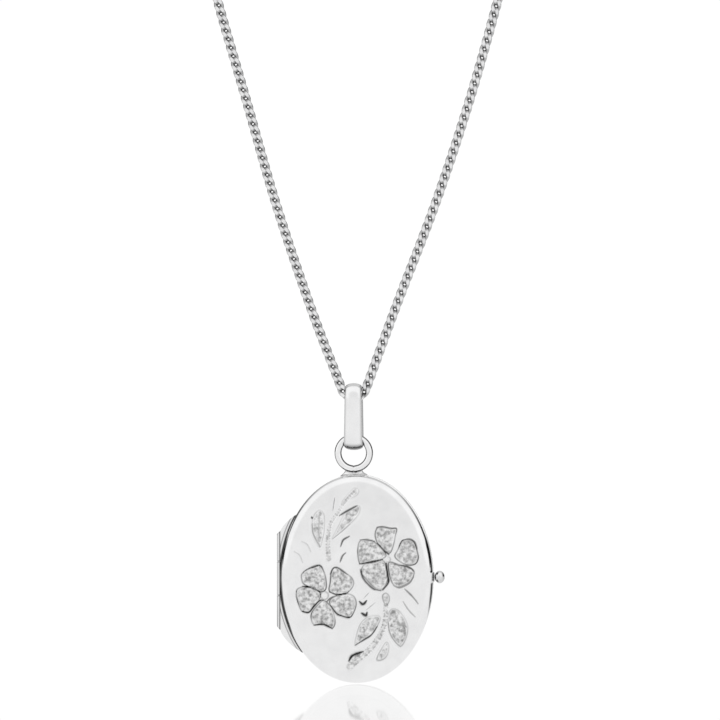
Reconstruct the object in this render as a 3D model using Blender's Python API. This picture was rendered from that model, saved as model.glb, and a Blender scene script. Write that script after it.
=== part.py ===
"""Oval silver locket on a fine curb chain, with its bail, top ring, hinge, catch, photo fittings and clasp.

Sizes are in millimetres and become metres when a mesh is made. Two frames are used. The hang frame has its
origin at the centre of the clasp, where the chain is held, and is the world. The locket frame has its origin
at the centre of the oval, in the plane where the two halves meet, with the front towards -Y.
"""

import math

import bmesh
import bpy
from mathutils import Vector

MM = 0.001
X = Vector((1, 0, 0))
Y = Vector((0, 1, 0))
Z = Vector((0, 0, 1))

# Covers: two domed halves of one oval
HALF_WIDTH = 9.55
HALF_HEIGHT = 13.0
WALL = 0.45
RIM_HEIGHT = 1.0
SHOULDER_INSET = 1.3
SHOULDER_RISE = 0.95
SHOULDER_TURN = math.radians(75)
CROWN_RISE = 0.55
CROWN_SHARES = (0.8, 0.55, 0.3)
SPLIT_GAP = 0.06

# Gaps between pieces. An oval's flat facets lie inside its true curve by FACET_SAG.
ROUND = 48
FACET_SAG = max(HALF_WIDTH, HALF_HEIGHT) * (1 - math.cos(math.pi / ROUND))
SOLDER_GAP = 0.03
SLIDING_GAP = 0.05
CUT_OVERSHOOT = 1.0

# Hinge, at the left edge
BARREL_RADIUS = 0.5
PIN_RADIUS = 0.22
PIN_CLEARANCE = 0.03
HINGE_OUTSIDE = 0.05
BARREL_TOP = 5.9
BARREL_BOTTOM = -6.55
UPPER_SPLIT = 2.06
LOWER_SPLIT = -2.2
KNUCKLE_GAP = 0.08
END_SLANT = 0.9
BEARER_HEIGHT = 0.85
BEARER_WALL = 0.32
BEARER_TOP_TIP = 7.9
BEARER_BOTTOM_TIP = -9.3
BEARER_TIP_WIDTH = 0.1
RECESS_MARGIN = 0.05

# Catch and photo fittings
LIP_THICKNESS = 0.3
LIP_PROUD = 0.4
LIP_DEEP = 0.9
LIP_REACH = math.radians(125)
FRAME_WIDTH = 1.15
FRAME_FRONT = 0.15
FRAME_THICKNESS = 0.45
WINDOW_THICKNESS = 0.2
CARD_THICKNESS = 0.15
CARD_INSET = 0.3

# Thumb piece, at the right edge
BALL_HALF_HEIGHT = 0.8
BALL_HALF_WIDTH = 0.63
THUMB_HEIGHT = 0.3
THUMB_FORWARD = 0.5
THUMB_PLATE_HALF_HEIGHT = 0.6
THUMB_PLATE_HALF_DEPTH = 0.4
THUMB_PLATE_THICKNESS = 0.14

# Top ring, its foot and the bail
RING_RADIUS = 1.975
RING_WIRE = 0.44
RING_HEIGHT = 2.66
RING_BACK = 0.4
FOOT_HALF_WIDTH = 1.78
FOOT_TOP_HALF_WIDTH = 1.1
FOOT_HALF_DEPTH = 0.46
FOOT_EDGE = 0.12
BAIL_HEIGHT = 8.41
BAIL_OUTER_RADIUS = 1.45
BAIL_THICKNESS = 0.53
BAIL_WIDTH = 2.36
BAIL_TOP_WIDTH = 2.06
BAIL_SECTION = [(-1, -0.5), (1, -0.5), (1, 0.0), (0.7, 0.35), (0, 0.5), (-0.7, 0.35), (-1, 0.0)]

# Chain and clasp
CHAIN_DIAMETER = 1.1
CHAIN_POINT_SPACING = 2.8
CHAIN_BAIL_GAP = 0.78
CHAIN_END_GAP = 0.3
CLASP_RADIUS = 2.15
CLASP_TUBE = 0.6
CLASP_BORE = 0.38
CLASP_MOUTH = (30, 80)
TONGUE_RADIUS = 0.33
TONGUE_ARC = (18, 140)
TONGUE_TRAVEL = 50
TRIGGER_ANGLE = 105
TRIGGER_RADIUS = 0.18
TRIGGER_HEIGHT = 1.15
SLOT_SIDE_GAP = 0.06
SLOT_END_GAP = 3
SPRING_ARC = (143, 236)
SPRING_RADIUS = 0.25
SPRING_WIRE = 0.07
SPRING_TURNS = 9
EYE_RADIUS = 0.7
EYE_WIRE = 0.25
JUMP_RING_RADIUS = 0.85
JUMP_RING_WIRE = 0.22
END_RING_RADIUS = 1.1
END_RING_WIRE = 0.25

# The chain's route in the hang frame, as (x, z), between its ends at the jump ring and the end ring.
CHAIN_ROUTE = [
    (-10.4, -1.2), (-14.3, -3.7), (-17.3, -7.6), (-18.7, -12.4), (-18.6, -17.6),
    (-17.6, -22.55), (-13.9, -35.35), (-10.25, -48.05), (-5.95, -60.85), (-2.32, -70.35),
    (-1.96, -71.32), (-1.38, -72.07), (-0.45, -72.37), (0.48, -72.07), (1.06, -71.32),
    (1.42, -70.35), (4.9, -60.85), (9.8, -48.05), (14.0, -35.35), (17.6, -22.55),
    (18.6, -17.6), (18.7, -12.4), (17.3, -7.6), (14.3, -3.7), (9.9, -1.1),
]

# Places that follow from the sizes
HINGE_X = -(HALF_WIDTH + HINGE_OUTSIDE)
CHANNEL_RADIUS = BARREL_RADIUS + SOLDER_GAP
BEARER_INNER_X = HINGE_X + BARREL_RADIUS + BEARER_WALL
NOTCH_X = BEARER_INNER_X + SOLDER_GAP
LIP_OUTSIDE = WALL + SOLDER_GAP + FACET_SAG
LIP_INSIDE = max(LIP_OUTSIDE + LIP_THICKNESS, HALF_WIDTH + NOTCH_X - SOLDER_GAP)
FRAME_OUTSIDE = LIP_INSIDE + SLIDING_GAP
RING_Z = HALF_HEIGHT + RING_HEIGHT
RING_REST = math.sqrt((RING_RADIUS - RING_WIRE - SLIDING_GAP) ** 2 - (BAIL_WIDTH / 2) ** 2)
BAIL_BOTTOM_Z = RING_Z + RING_REST - BAIL_THICKNESS
BAIL_TOP_Z = BAIL_BOTTOM_Z + BAIL_HEIGHT
BAIL_AXIS_Z = BAIL_TOP_Z - BAIL_OUTER_RADIUS
HANG_SIDE, CHAIN_LOW = min(CHAIN_ROUTE, key=lambda place: place[1])
HANG_DROP = BAIL_TOP_Z - BAIL_THICKNESS - (CHAIN_LOW + CHAIN_DIAMETER / 2 + CHAIN_BAIL_GAP)
LOCKET_AT = Vector((0, -RING_BACK, -HANG_DROP))
HANG_AT = Vector((0, 0, 0))

# Facets
SHOULDER_STEPS = 4
BEARER_STEPS = 18
KNUCKLE_SIDES = 20
THUMB_RINGS = 10
FOOT_SIDES = 20
LIP_STEPS = 40
BAIL_STEPS = 12
SLOT_STEPS = 8


def clear_scene():
    for old in list(bpy.data.objects):
        bpy.data.objects.remove(old)


def make_material(name, colour, metallic, roughness):
    material = bpy.data.materials.new(name)
    material.use_nodes = True
    shader = material.node_tree.nodes["Principled BSDF"]
    shader.inputs["Base Color"].default_value = (*colour, 1)
    shader.inputs["Metallic"].default_value = metallic
    shader.inputs["Roughness"].default_value = roughness
    return material


def add_axis(name, place, parent=None):
    """An empty on a joint's axis. Pieces that turn with the joint are its children."""
    axis = bpy.data.objects.new(name, None)
    axis.empty_display_size = 2 * MM
    bpy.context.scene.collection.objects.link(axis)
    axis.parent = parent
    axis.location = (place - place_of(parent)) * MM
    return axis


def place_of(axis):
    """Where an axis is in the hang frame, in millimetres."""
    place = Vector((0, 0, 0))
    while axis:
        place += axis.location / MM
        axis = axis.parent
    return place


def link_piece(name, data, material, axis):
    piece = bpy.data.objects.new(name, data)
    data.materials.append(material)
    bpy.context.scene.collection.objects.link(piece)
    piece.parent = axis
    return piece


def skin(loops, closed=False):
    """Faces between loops of points that follow each other. An open run of loops gets end caps."""
    shape = bmesh.new()
    rows = [[shape.verts.new(point) for point in loop] for loop in loops]
    pairs = list(zip(rows, rows[1:]))
    if closed:
        pairs.append((rows[-1], rows[0]))
    for first, second in pairs:
        for i in range(len(first)):
            j = (i + 1) % len(first)
            shape.faces.new((first[i], first[j], second[j], second[i]))
    if not closed:
        shape.faces.new(rows[0])
        shape.faces.new(reversed(rows[-1]))
    bmesh.ops.recalc_face_normals(shape, faces=shape.faces)
    return shape


def add_piece(name, shape, material, axis, frame=LOCKET_AT):
    """A piece whose points are millimetres in the given frame, stored about its joint's axis."""
    offset = frame - place_of(axis)
    for vertex in shape.verts:
        vertex.co = (vertex.co + offset) * MM
    mesh = bpy.data.meshes.new(name)
    shape.to_mesh(mesh)
    shape.free()
    mesh.shade_smooth()
    mesh.set_sharp_from_angle(angle=math.radians(35))
    return link_piece(name, mesh, material, axis)


def cut(piece, cutter, operation="DIFFERENCE"):
    modifier = piece.modifiers.new(cutter.name, "BOOLEAN")
    modifier.operation = operation
    modifier.solver = "EXACT"
    modifier.object = cutter
    cutter.hide_render = True
    cutter.display_type = "WIRE"


def oval_loop(half_width, half_height, y, count=ROUND):
    turns = [2 * math.pi * i / count for i in range(count)]
    return [Vector((half_width * math.cos(t), y, half_height * math.sin(t))) for t in turns]


def oval_x(z, outside=0.0):
    """Half-width of the oval at height z, with the oval grown by outside."""
    share = z / (HALF_HEIGHT + outside)
    return (HALF_WIDTH + outside) * math.sqrt(max(0.0, 1 - share * share))


def oval_z(x, outside=0.0):
    share = x / (HALF_WIDTH + outside)
    return (HALF_HEIGHT + outside) * math.sqrt(max(0.0, 1 - share * share))


def circle_loop(centre, across, up, radius, count):
    turns = [2 * math.pi * i / count for i in range(count)]
    return [centre + radius * (math.cos(t) * across + math.sin(t) * up) for t in turns]


def dome_loops(inset, side):
    """One surface of a cover from its rim to the flat in the middle. side is -1 in front and 1 behind."""
    width = HALF_WIDTH - inset
    height = HALF_HEIGHT - inset
    loops = [(width, height, SPLIT_GAP / 2), (width, height, RIM_HEIGHT)]
    for step in range(1, SHOULDER_STEPS + 1):
        turn = SHOULDER_TURN * step / SHOULDER_STEPS
        inwards = (SHOULDER_INSET - inset) * (1 - math.cos(turn))
        depth = RIM_HEIGHT + (SHOULDER_RISE - inset) * math.sin(turn)
        loops.append((width - inwards, height - inwards, depth))
    last_width, last_height, last_depth = loops[-1]
    for share in CROWN_SHARES:
        depth = last_depth + CROWN_RISE * (1 - share**2) / (1 - CROWN_SHARES[-1] ** 2)
        loops.append((last_width * share, last_height * share, depth))
    return [oval_loop(w, h, side * depth) for w, h, depth in loops]


def ring_shape(centre, across, up, radius, wire, around=36, sides=8):
    """A closed wire ring in the plane of across and up."""
    normal = across.cross(up)
    loops = []
    for i in range(around):
        turn = 2 * math.pi * i / around
        out = math.cos(turn) * across + math.sin(turn) * up
        loops.append(circle_loop(centre + radius * out, out, normal, wire, sides))
    return skin(loops, closed=True)


def arc_loops(radius, wire, first, last, steps, sides):
    """Circles of a tube along an arc about the clasp's centre, between two angles in degrees."""
    loops = []
    for i in range(steps + 1):
        turn = math.radians(first + (last - first) * i / steps)
        out = math.cos(turn) * X + math.sin(turn) * Z
        loops.append(circle_loop(radius * out, out, Y, wire, sides))
    return loops


def make_cover(name, side, material, axis):
    shape = skin(list(reversed(dome_loops(WALL, side))) + dome_loops(0, side))
    cover = add_piece(name, shape, material, axis)
    nearest, furthest = sorted((-side * RECESS_MARGIN, side * (BEARER_HEIGHT + RECESS_MARGIN)))
    low = Vector((HINGE_X - CUT_OVERSHOOT, nearest, -HALF_HEIGHT / 2))
    high = Vector((NOTCH_X, furthest, HALF_HEIGHT / 2))
    cutter = add_piece(name + "_hinge_notch", box_shape(low, high), material, axis)
    cut(cover, cutter)
    return cover


def box_shape(low, high):
    corners = [(low.x, low.y), (high.x, low.y), (high.x, high.y), (low.x, high.y)]
    return skin([[Vector((x, y, z)) for x, y in corners] for z in (low.z, high.z)])


def make_bearer(name, side, material, axis):
    """A strip that lines the cover's notch, carries the knuckles, and tapers along the oval at both ends."""
    length = BEARER_TOP_TIP - BEARER_BOTTOM_TIP
    meets_oval = oval_z(-BEARER_INNER_X, SOLDER_GAP)
    levels = [BEARER_BOTTOM_TIP + length * i / BEARER_STEPS for i in range(BEARER_STEPS + 1)]
    levels = sorted(levels + [-meets_oval, meets_oval])
    inner = [(max(BEARER_INNER_X, -oval_x(z, SOLDER_GAP)), z) for z in levels]
    outer_x = HINGE_X + SOLDER_GAP
    outline = inner + [
        (inner[-1][0] - BEARER_TIP_WIDTH, BEARER_TOP_TIP),
        (outer_x, BARREL_TOP),
        (outer_x, BARREL_BOTTOM),
        (inner[0][0] - BEARER_TIP_WIDTH, BEARER_BOTTOM_TIP),
    ]
    depths = [side * SPLIT_GAP / 2, side * BEARER_HEIGHT]
    shape = skin([[Vector((x, y, z)) for x, z in outline] for y in depths])
    bearer = add_piece(name, shape, material, axis)
    low = BARREL_BOTTOM - 2 * END_SLANT * BARREL_RADIUS
    high = BARREL_TOP + 2 * END_SLANT * BARREL_RADIUS
    channel = skin([circle_loop(Vector((HINGE_X, 0, z)), X, Y, CHANNEL_RADIUS, 32) for z in (low, high)])
    cut(bearer, add_piece(name + "_channel", channel, material, axis))
    return bearer


def make_knuckle(name, low, high, low_slant, high_slant, material, axis):
    """A length of hinge tube. A slant lowers or raises an end on its outer side, to follow the oval."""
    loops = []
    for radius, z, slant in (
        (BARREL_RADIUS, low, low_slant),
        (BARREL_RADIUS, high, high_slant),
        (PIN_RADIUS + PIN_CLEARANCE, high, high_slant),
        (PIN_RADIUS + PIN_CLEARANCE, low, low_slant),
    ):
        loop = circle_loop(Vector((HINGE_X, 0, z)), X, Y, radius, KNUCKLE_SIDES)
        for point in loop:
            point.z += slant * (point.x - HINGE_X)
        loops.append(loop)
    return add_piece(name, skin(loops, closed=True), material, axis)


def make_pin(material, axis):
    ends = (BARREL_BOTTOM + PIN_RADIUS, BARREL_TOP - PIN_RADIUS)
    loops = [circle_loop(Vector((HINGE_X, 0, z)), X, Y, PIN_RADIUS, 16) for z in ends]
    return add_piece("hinge_pin", skin(loops), material, axis)


def make_catch_lip(material, axis):
    """A strip inside the back half's rim, proud of it, open at the hinge side."""
    outer = LIP_OUTSIDE
    inner = LIP_INSIDE
    loops = []
    for i in range(LIP_STEPS + 1):
        t = -LIP_REACH + 2 * LIP_REACH * i / LIP_STEPS
        section = []
        for inset, y in ((outer, -LIP_PROUD), (outer, LIP_DEEP), (inner, LIP_DEEP), (inner, -LIP_PROUD)):
            x = (HALF_WIDTH - inset) * math.cos(t)
            z = (HALF_HEIGHT - inset) * math.sin(t)
            section.append(Vector((x, y, z)))
        loops.append(section)
    return add_piece("catch_lip", skin(loops), material, axis)


def make_photo_fittings(which, side, silver, clear, card, axis):
    """A snap-in oval frame, and behind it a clear window and a blank card."""
    width = HALF_WIDTH - FRAME_OUTSIDE
    height = HALF_HEIGHT - FRAME_OUTSIDE
    front = side * FRAME_FRONT
    back = side * (FRAME_FRONT + FRAME_THICKNESS)
    loops = [
        oval_loop(width, height, front),
        oval_loop(width, height, back),
        oval_loop(width - FRAME_WIDTH, height - FRAME_WIDTH, back),
        oval_loop(width - FRAME_WIDTH, height - FRAME_WIDTH, front),
    ]
    add_piece(which + "_photo_frame", skin(loops, closed=True), silver, axis)
    window_front = back + side * SLIDING_GAP
    window_back = window_front + side * WINDOW_THICKNESS
    card_front = window_back + side * SLIDING_GAP
    card_back = card_front + side * CARD_THICKNESS
    for name, near, far, made_of in (
        ("_window", window_front, window_back, clear),
        ("_photo_card", card_front, card_back, card),
    ):
        plate = [oval_loop(width - CARD_INSET, height - CARD_INSET, y) for y in (near, far)]
        add_piece(which + name, skin(plate), made_of, axis)


def make_thumb_piece(material, axis):
    centre = Vector((HALF_WIDTH + SOLDER_GAP, -THUMB_FORWARD, THUMB_HEIGHT))
    plate = []
    for out in (0, THUMB_PLATE_THICKNESS):
        loop = circle_loop(centre + out * X, Y, Z, 1, 16)
        for point in loop:
            offset = point - centre
            point.y = centre.y + offset.y * THUMB_PLATE_HALF_DEPTH
            point.z = centre.z + offset.z * THUMB_PLATE_HALF_HEIGHT
        plate.append(loop)
    add_piece("thumb_plate", skin(plate), material, axis)
    ball_x = centre.x + THUMB_PLATE_THICKNESS + SOLDER_GAP + BALL_HALF_WIDTH
    loops = []
    for i in range(1, THUMB_RINGS):
        turn = math.pi * i / THUMB_RINGS
        at = Vector((ball_x - BALL_HALF_WIDTH * math.cos(turn), centre.y, centre.z))
        loops.append(circle_loop(at, Y, Z, BALL_HALF_HEIGHT * math.sin(turn), 20))
    add_piece("thumb_ball", skin(loops), material, axis)


def make_top_ring(material, axis):
    centre = Vector((HANG_SIDE, RING_BACK, RING_Z))
    add_piece("top_ring", ring_shape(centre, X, Z, RING_RADIUS, RING_WIRE), material, axis)


def make_ring_foot(material, axis):
    """A flared saddle between the back cover's rim and the ring."""
    reach = RING_RADIUS + RING_WIRE + SOLDER_GAP
    centre_y = SPLIT_GAP / 2 + FOOT_HALF_DEPTH

    def loop(half_width, half_depth, height_of):
        points = []
        for i in range(FOOT_SIDES):
            turn = 2 * math.pi * i / FOOT_SIDES
            x = half_width * math.cos(turn)
            points.append(Vector((HANG_SIDE + x, centre_y + half_depth * math.sin(turn), height_of(x))))
        return points

    def seat(x):
        return oval_z(HANG_SIDE + x, SOLDER_GAP + FACET_SAG)

    def edge(x):
        return seat(x) + FOOT_EDGE

    def cradle(x):
        return RING_Z - math.sqrt(reach**2 - x**2)

    loops = [
        loop(FOOT_HALF_WIDTH / 2, FOOT_HALF_DEPTH / 2, seat),
        loop(FOOT_HALF_WIDTH, FOOT_HALF_DEPTH, seat),
        loop(FOOT_HALF_WIDTH, FOOT_HALF_DEPTH, edge),
        loop(FOOT_TOP_HALF_WIDTH, RING_WIRE, cradle),
        loop(FOOT_TOP_HALF_WIDTH / 2, RING_WIRE / 2, cradle),
    ]
    add_piece("ring_foot", skin(loops), material, axis)


def make_bail(material, axis):
    """A D-section band looped front to back, a little narrower at the top."""
    radius = BAIL_OUTER_RADIUS - BAIL_THICKNESS / 2
    top = BAIL_TOP_Z - BAIL_OUTER_RADIUS
    bottom = BAIL_BOTTOM_Z + BAIL_OUTER_RADIUS
    stations = []
    for centre_z, start in ((top, 0.0), (bottom, math.pi)):
        for i in range(BAIL_STEPS + 1):
            stations.append((centre_z, start + math.pi * i / BAIL_STEPS))
    loops = []
    for centre_z, turn in stations:
        out = math.cos(turn) * Y + math.sin(turn) * Z
        middle = Vector((HANG_SIDE, RING_BACK, centre_z)) + radius * out
        share = (middle.z - BAIL_BOTTOM_Z) / BAIL_HEIGHT
        half = (BAIL_WIDTH + (BAIL_TOP_WIDTH - BAIL_WIDTH) * share) / 2
        loops.append([middle + half * a * X + BAIL_THICKNESS * b * out for a, b in BAIL_SECTION])
    add_piece("bail", skin(loops, closed=True), material, axis)


def catmull_rom(points, spacing):
    """Points along a smooth curve through the given ones, closer together where those are close."""
    ends = [points[0] * 2 - points[1]] + points + [points[-1] * 2 - points[-2]]
    line = []
    for a, b, c, d in zip(ends, ends[1:], ends[2:], ends[3:]):
        count = max(2, round((c - b).length / spacing))
        for i in range(count):
            t = i / count
            line.append(
                0.5 * (2 * b + (c - a) * t + (2 * a - 5 * b + 4 * c - d) * t**2
                       + (3 * b - a - 3 * c + d) * t**3)
            )
    line.append(points[-1])
    return line


def make_chain(material, axis):
    start = jump_ring_centre().x - JUMP_RING_RADIUS - JUMP_RING_WIRE - CHAIN_END_GAP
    end = end_ring_centre().x + END_RING_RADIUS + END_RING_WIRE + CHAIN_END_GAP
    places = [(start, 0), *CHAIN_ROUTE, (end, 0)]
    route = [Vector((x, 0, z)) for x, z in places]
    line = catmull_rom(route, CHAIN_POINT_SPACING)
    curve = bpy.data.curves.new("chain", "CURVE")
    curve.dimensions = "3D"
    curve.bevel_depth = CHAIN_DIAMETER / 2 * MM
    curve.bevel_resolution = 2
    curve.use_fill_caps = True
    spline = curve.splines.new("POLY")
    spline.points.add(len(line) - 1)
    for point, place in zip(spline.points, line):
        point.co = (*(place * MM), 1)
    link_piece("chain", curve, material, axis)


def make_clasp_ring(material, axis):
    """The bolt ring: a C of tube with a slot for the trigger, and an eye on its outside."""
    first, last = CLASP_MOUTH[1], CLASP_MOUTH[0] + 360
    outside = arc_loops(CLASP_RADIUS, CLASP_TUBE, first, last, 26, 10)
    bore = arc_loops(CLASP_RADIUS, CLASP_BORE, last, first, 26, 10)
    body = add_piece("clasp_ring", skin(outside + bore, closed=True), material, axis, HANG_AT)

    slot_start = TRIGGER_ANGLE - math.degrees(TRIGGER_RADIUS / CLASP_RADIUS) - SLOT_END_GAP
    slot_end = TRIGGER_ANGLE + TONGUE_TRAVEL + math.degrees(TRIGGER_RADIUS / CLASP_RADIUS) + SLOT_END_GAP
    half = TRIGGER_RADIUS + SLOT_SIDE_GAP
    low = CLASP_RADIUS + CLASP_BORE / 2
    high = CLASP_RADIUS + CLASP_TUBE + CUT_OVERSHOOT
    sections = []
    for i in range(SLOT_STEPS + 1):
        turn = math.radians(slot_start + (slot_end - slot_start) * i / SLOT_STEPS)
        out = math.cos(turn) * X + math.sin(turn) * Z
        corners = ((low, -half), (high, -half), (high, half), (low, half))
        sections.append([r * out + y * Y for r, y in corners])
    cut(body, add_piece("clasp_ring_slot", skin(sections), material, axis, HANG_AT))

    eye = ring_shape(eye_centre(), X, Z, EYE_RADIUS, EYE_WIRE, 20)
    cut(body, add_piece("clasp_ring_eye", eye, material, axis, HANG_AT), "UNION")


def eye_centre():
    return Vector((-(CLASP_RADIUS + CLASP_BORE + EYE_WIRE + EYE_RADIUS), 0, 0))


def make_clasp_tongue(material, axis):
    """The bolt that closes the mouth, with its trigger."""
    loops = arc_loops(CLASP_RADIUS, TONGUE_RADIUS, TONGUE_ARC[0], TONGUE_ARC[1], 12, 10)
    tongue = add_piece("clasp_tongue", skin(loops), material, axis, HANG_AT)
    turn = math.radians(TRIGGER_ANGLE)
    out = math.cos(turn) * X + math.sin(turn) * Z
    along = out.cross(Y)
    ends = [circle_loop(r * out, Y, along, TRIGGER_RADIUS, 12)
            for r in (CLASP_RADIUS, CLASP_RADIUS + TRIGGER_HEIGHT)]
    cut(tongue, add_piece("clasp_tongue_trigger", skin(ends), material, axis, HANG_AT), "UNION")


def make_clasp_spring(material, axis):
    loops = []
    steps = SPRING_TURNS * 8
    for i in range(steps + 1):
        turn = math.radians(SPRING_ARC[0] + (SPRING_ARC[1] - SPRING_ARC[0]) * i / steps)
        wind = 2 * math.pi * SPRING_TURNS * i / steps
        out = math.cos(turn) * X + math.sin(turn) * Z
        along = math.cos(turn) * Z - math.sin(turn) * X
        radial = math.cos(wind) * out + math.sin(wind) * Y
        loops.append(circle_loop(CLASP_RADIUS * out + SPRING_RADIUS * radial, radial, along, SPRING_WIRE, 4))
    add_piece("clasp_spring", skin(loops), material, axis, HANG_AT)


def jump_ring_centre():
    inside = eye_centre().x - EYE_RADIUS + EYE_WIRE + SOLDER_GAP
    return Vector((inside + JUMP_RING_WIRE - JUMP_RING_RADIUS, 0, 0))


def end_ring_centre():
    inside = CLASP_RADIUS - CLASP_TUBE - SOLDER_GAP
    return Vector((inside - END_RING_WIRE + END_RING_RADIUS, 0, 0))


def make_clasp_links(material, axis):
    """The jump ring in the clasp's eye, and the chain's end ring that the clasp hooks."""
    jump = ring_shape(jump_ring_centre(), X, Y, JUMP_RING_RADIUS, JUMP_RING_WIRE, 24)
    add_piece("clasp_jump_ring", jump, material, axis, HANG_AT)
    end = ring_shape(end_ring_centre(), X, Y, END_RING_RADIUS, END_RING_WIRE, 24)
    add_piece("chain_end_ring", end, material, axis, HANG_AT)


def build():
    clear_scene()
    silver = make_material("polished_silver", (0.86, 0.86, 0.87), 1.0, 0.12)
    chain_silver = make_material("chain_silver", (0.80, 0.80, 0.82), 1.0, 0.2)
    steel = make_material("spring_steel", (0.6, 0.6, 0.62), 1.0, 0.3)
    clear = make_material("clear_window", (0.95, 0.96, 0.97), 0.0, 0.05)
    card = make_material("photo_card", (0.9, 0.89, 0.85), 0.0, 0.7)

    hang = add_axis("hang_point", HANG_AT)
    clasp_axis = add_axis("clasp_axis", HANG_AT, hang)
    bail_axis = add_axis("bail_axis", LOCKET_AT + Vector((HANG_SIDE, RING_BACK, BAIL_AXIS_Z)), hang)
    ring_axis = add_axis("ring_axis", LOCKET_AT + Vector((HANG_SIDE, RING_BACK, RING_Z)), bail_axis)
    hinge_axis = add_axis("hinge_axis", LOCKET_AT + Vector((HINGE_X, 0, 0)), ring_axis)

    make_chain(chain_silver, hang)
    make_clasp_ring(silver, hang)
    make_clasp_spring(steel, hang)
    make_clasp_links(silver, hang)
    make_clasp_tongue(silver, clasp_axis)
    make_bail(silver, bail_axis)

    make_cover("back_cover", 1, silver, ring_axis)
    make_bearer("back_hinge_bearer", 1, silver, ring_axis)
    half_gap = KNUCKLE_GAP / 2
    make_knuckle("upper_knuckle", UPPER_SPLIT + half_gap, BARREL_TOP, 0, END_SLANT, silver, ring_axis)
    make_knuckle("lower_knuckle", BARREL_BOTTOM, LOWER_SPLIT - half_gap, -END_SLANT, 0, silver, ring_axis)
    make_pin(steel, ring_axis)
    make_catch_lip(silver, ring_axis)
    make_top_ring(silver, ring_axis)
    make_ring_foot(silver, ring_axis)
    make_photo_fittings("back", 1, silver, clear, card, ring_axis)

    make_cover("front_cover", -1, silver, hinge_axis)
    make_bearer("front_hinge_bearer", -1, silver, hinge_axis)
    make_knuckle("middle_knuckle", LOWER_SPLIT + half_gap, UPPER_SPLIT - half_gap, 0, 0, silver, hinge_axis)
    make_thumb_piece(silver, hinge_axis)
    make_photo_fittings("front", -1, silver, clear, card, hinge_axis)


build()
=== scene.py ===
"""Looks of the oval silver locket: engraved covers, curb chain, fittings and clasp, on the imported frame.

Shapes are made in millimetres and become metres when a mesh is made. The hang frame is the world, with its
origin at the centre of the clasp. The locket frame has its origin at the centre of the oval, in the plane
where the two halves meet, with the front towards -Y.
"""

import math

import bmesh
import bpy
import numpy as np
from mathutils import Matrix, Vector


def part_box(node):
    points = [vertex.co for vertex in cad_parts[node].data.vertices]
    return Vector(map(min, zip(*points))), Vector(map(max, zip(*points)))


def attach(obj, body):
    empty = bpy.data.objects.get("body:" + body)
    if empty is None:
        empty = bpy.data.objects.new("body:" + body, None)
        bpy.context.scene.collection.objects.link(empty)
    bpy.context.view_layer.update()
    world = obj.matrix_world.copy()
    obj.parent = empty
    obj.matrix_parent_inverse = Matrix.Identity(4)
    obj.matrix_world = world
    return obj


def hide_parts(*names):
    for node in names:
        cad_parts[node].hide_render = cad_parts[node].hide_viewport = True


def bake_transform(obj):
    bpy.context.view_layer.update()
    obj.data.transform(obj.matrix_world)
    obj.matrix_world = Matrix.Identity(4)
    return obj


MM = 0.001
X = np.array([1.0, 0.0, 0.0])
Y = np.array([0.0, 1.0, 0.0])
Z = np.array([0.0, 0.0, 1.0])

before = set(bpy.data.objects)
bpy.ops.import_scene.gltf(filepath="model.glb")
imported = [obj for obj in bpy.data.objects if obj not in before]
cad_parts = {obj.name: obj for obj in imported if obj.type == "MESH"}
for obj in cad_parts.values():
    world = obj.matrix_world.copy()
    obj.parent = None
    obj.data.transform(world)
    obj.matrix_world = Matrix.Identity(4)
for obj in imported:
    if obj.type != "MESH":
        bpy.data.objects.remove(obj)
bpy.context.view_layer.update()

HANG_AT = np.zeros(3)
SPLIT_GAP = 0.06
BACK_LOW, BACK_HIGH = (np.array(corner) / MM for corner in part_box("back_cover"))
LOCKET_AT = np.array([0.0, BACK_LOW[1] - SPLIT_GAP / 2, (BACK_LOW[2] + BACK_HIGH[2]) / 2])
BAIL_LOW, BAIL_HIGH = (np.array(corner) / MM - LOCKET_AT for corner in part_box("bail"))

# Covers
HALF_WIDTH = 9.55
HALF_HEIGHT = 13.0
WALL = 0.45
RIM_HEIGHT = 1.0
SHOULDER_INSET = 1.3
SHOULDER_RISE = 0.95
SHOULDER_TURN = math.radians(75)
CROWN_RISE = 0.55
CROWN_SHARES = (0.8, 0.55, 0.3)
RIM_ROUND = 0.1
CROWN_SHARE = 0.86
COVER_GRID = 270
NOTCH_X = -8.75
NOTCH_DEPTH = 0.9

# Chain
CHAIN_ROUTE = [
    (-5.9, 0.0), (-10.4, -1.2), (-14.3, -3.7), (-17.3, -7.6), (-18.7, -12.4), (-18.6, -17.6),
    (-17.6, -22.55), (-13.9, -35.35), (-10.25, -48.05), (-5.95, -60.85), (-2.32, -70.35),
    (-1.96, -71.32), (-1.38, -72.07), (-0.45, -72.37), (0.48, -72.07), (1.06, -71.32),
    (1.42, -70.35), (4.9, -60.85), (9.8, -48.05), (14.0, -35.35), (17.6, -22.55),
    (18.6, -17.6), (18.7, -12.4), (17.3, -7.6), (14.3, -3.7), (9.9, -1.1), (4.02, 0.0),
]
CHAIN_POINT_SPACING = 0.4
LINK_PITCH = 1.1
LINK_HALF_LENGTH = 0.785
LINK_HALF_WIDTH = 0.365
LINK_WIRE = 0.25
LINK_TWIST = math.radians(45)
LINK_FLAT = 0.27
LINK_SHADE = 0.45
LINK_END = (0.75, 0.97)
LINK_END_SHADE = 0.85

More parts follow.
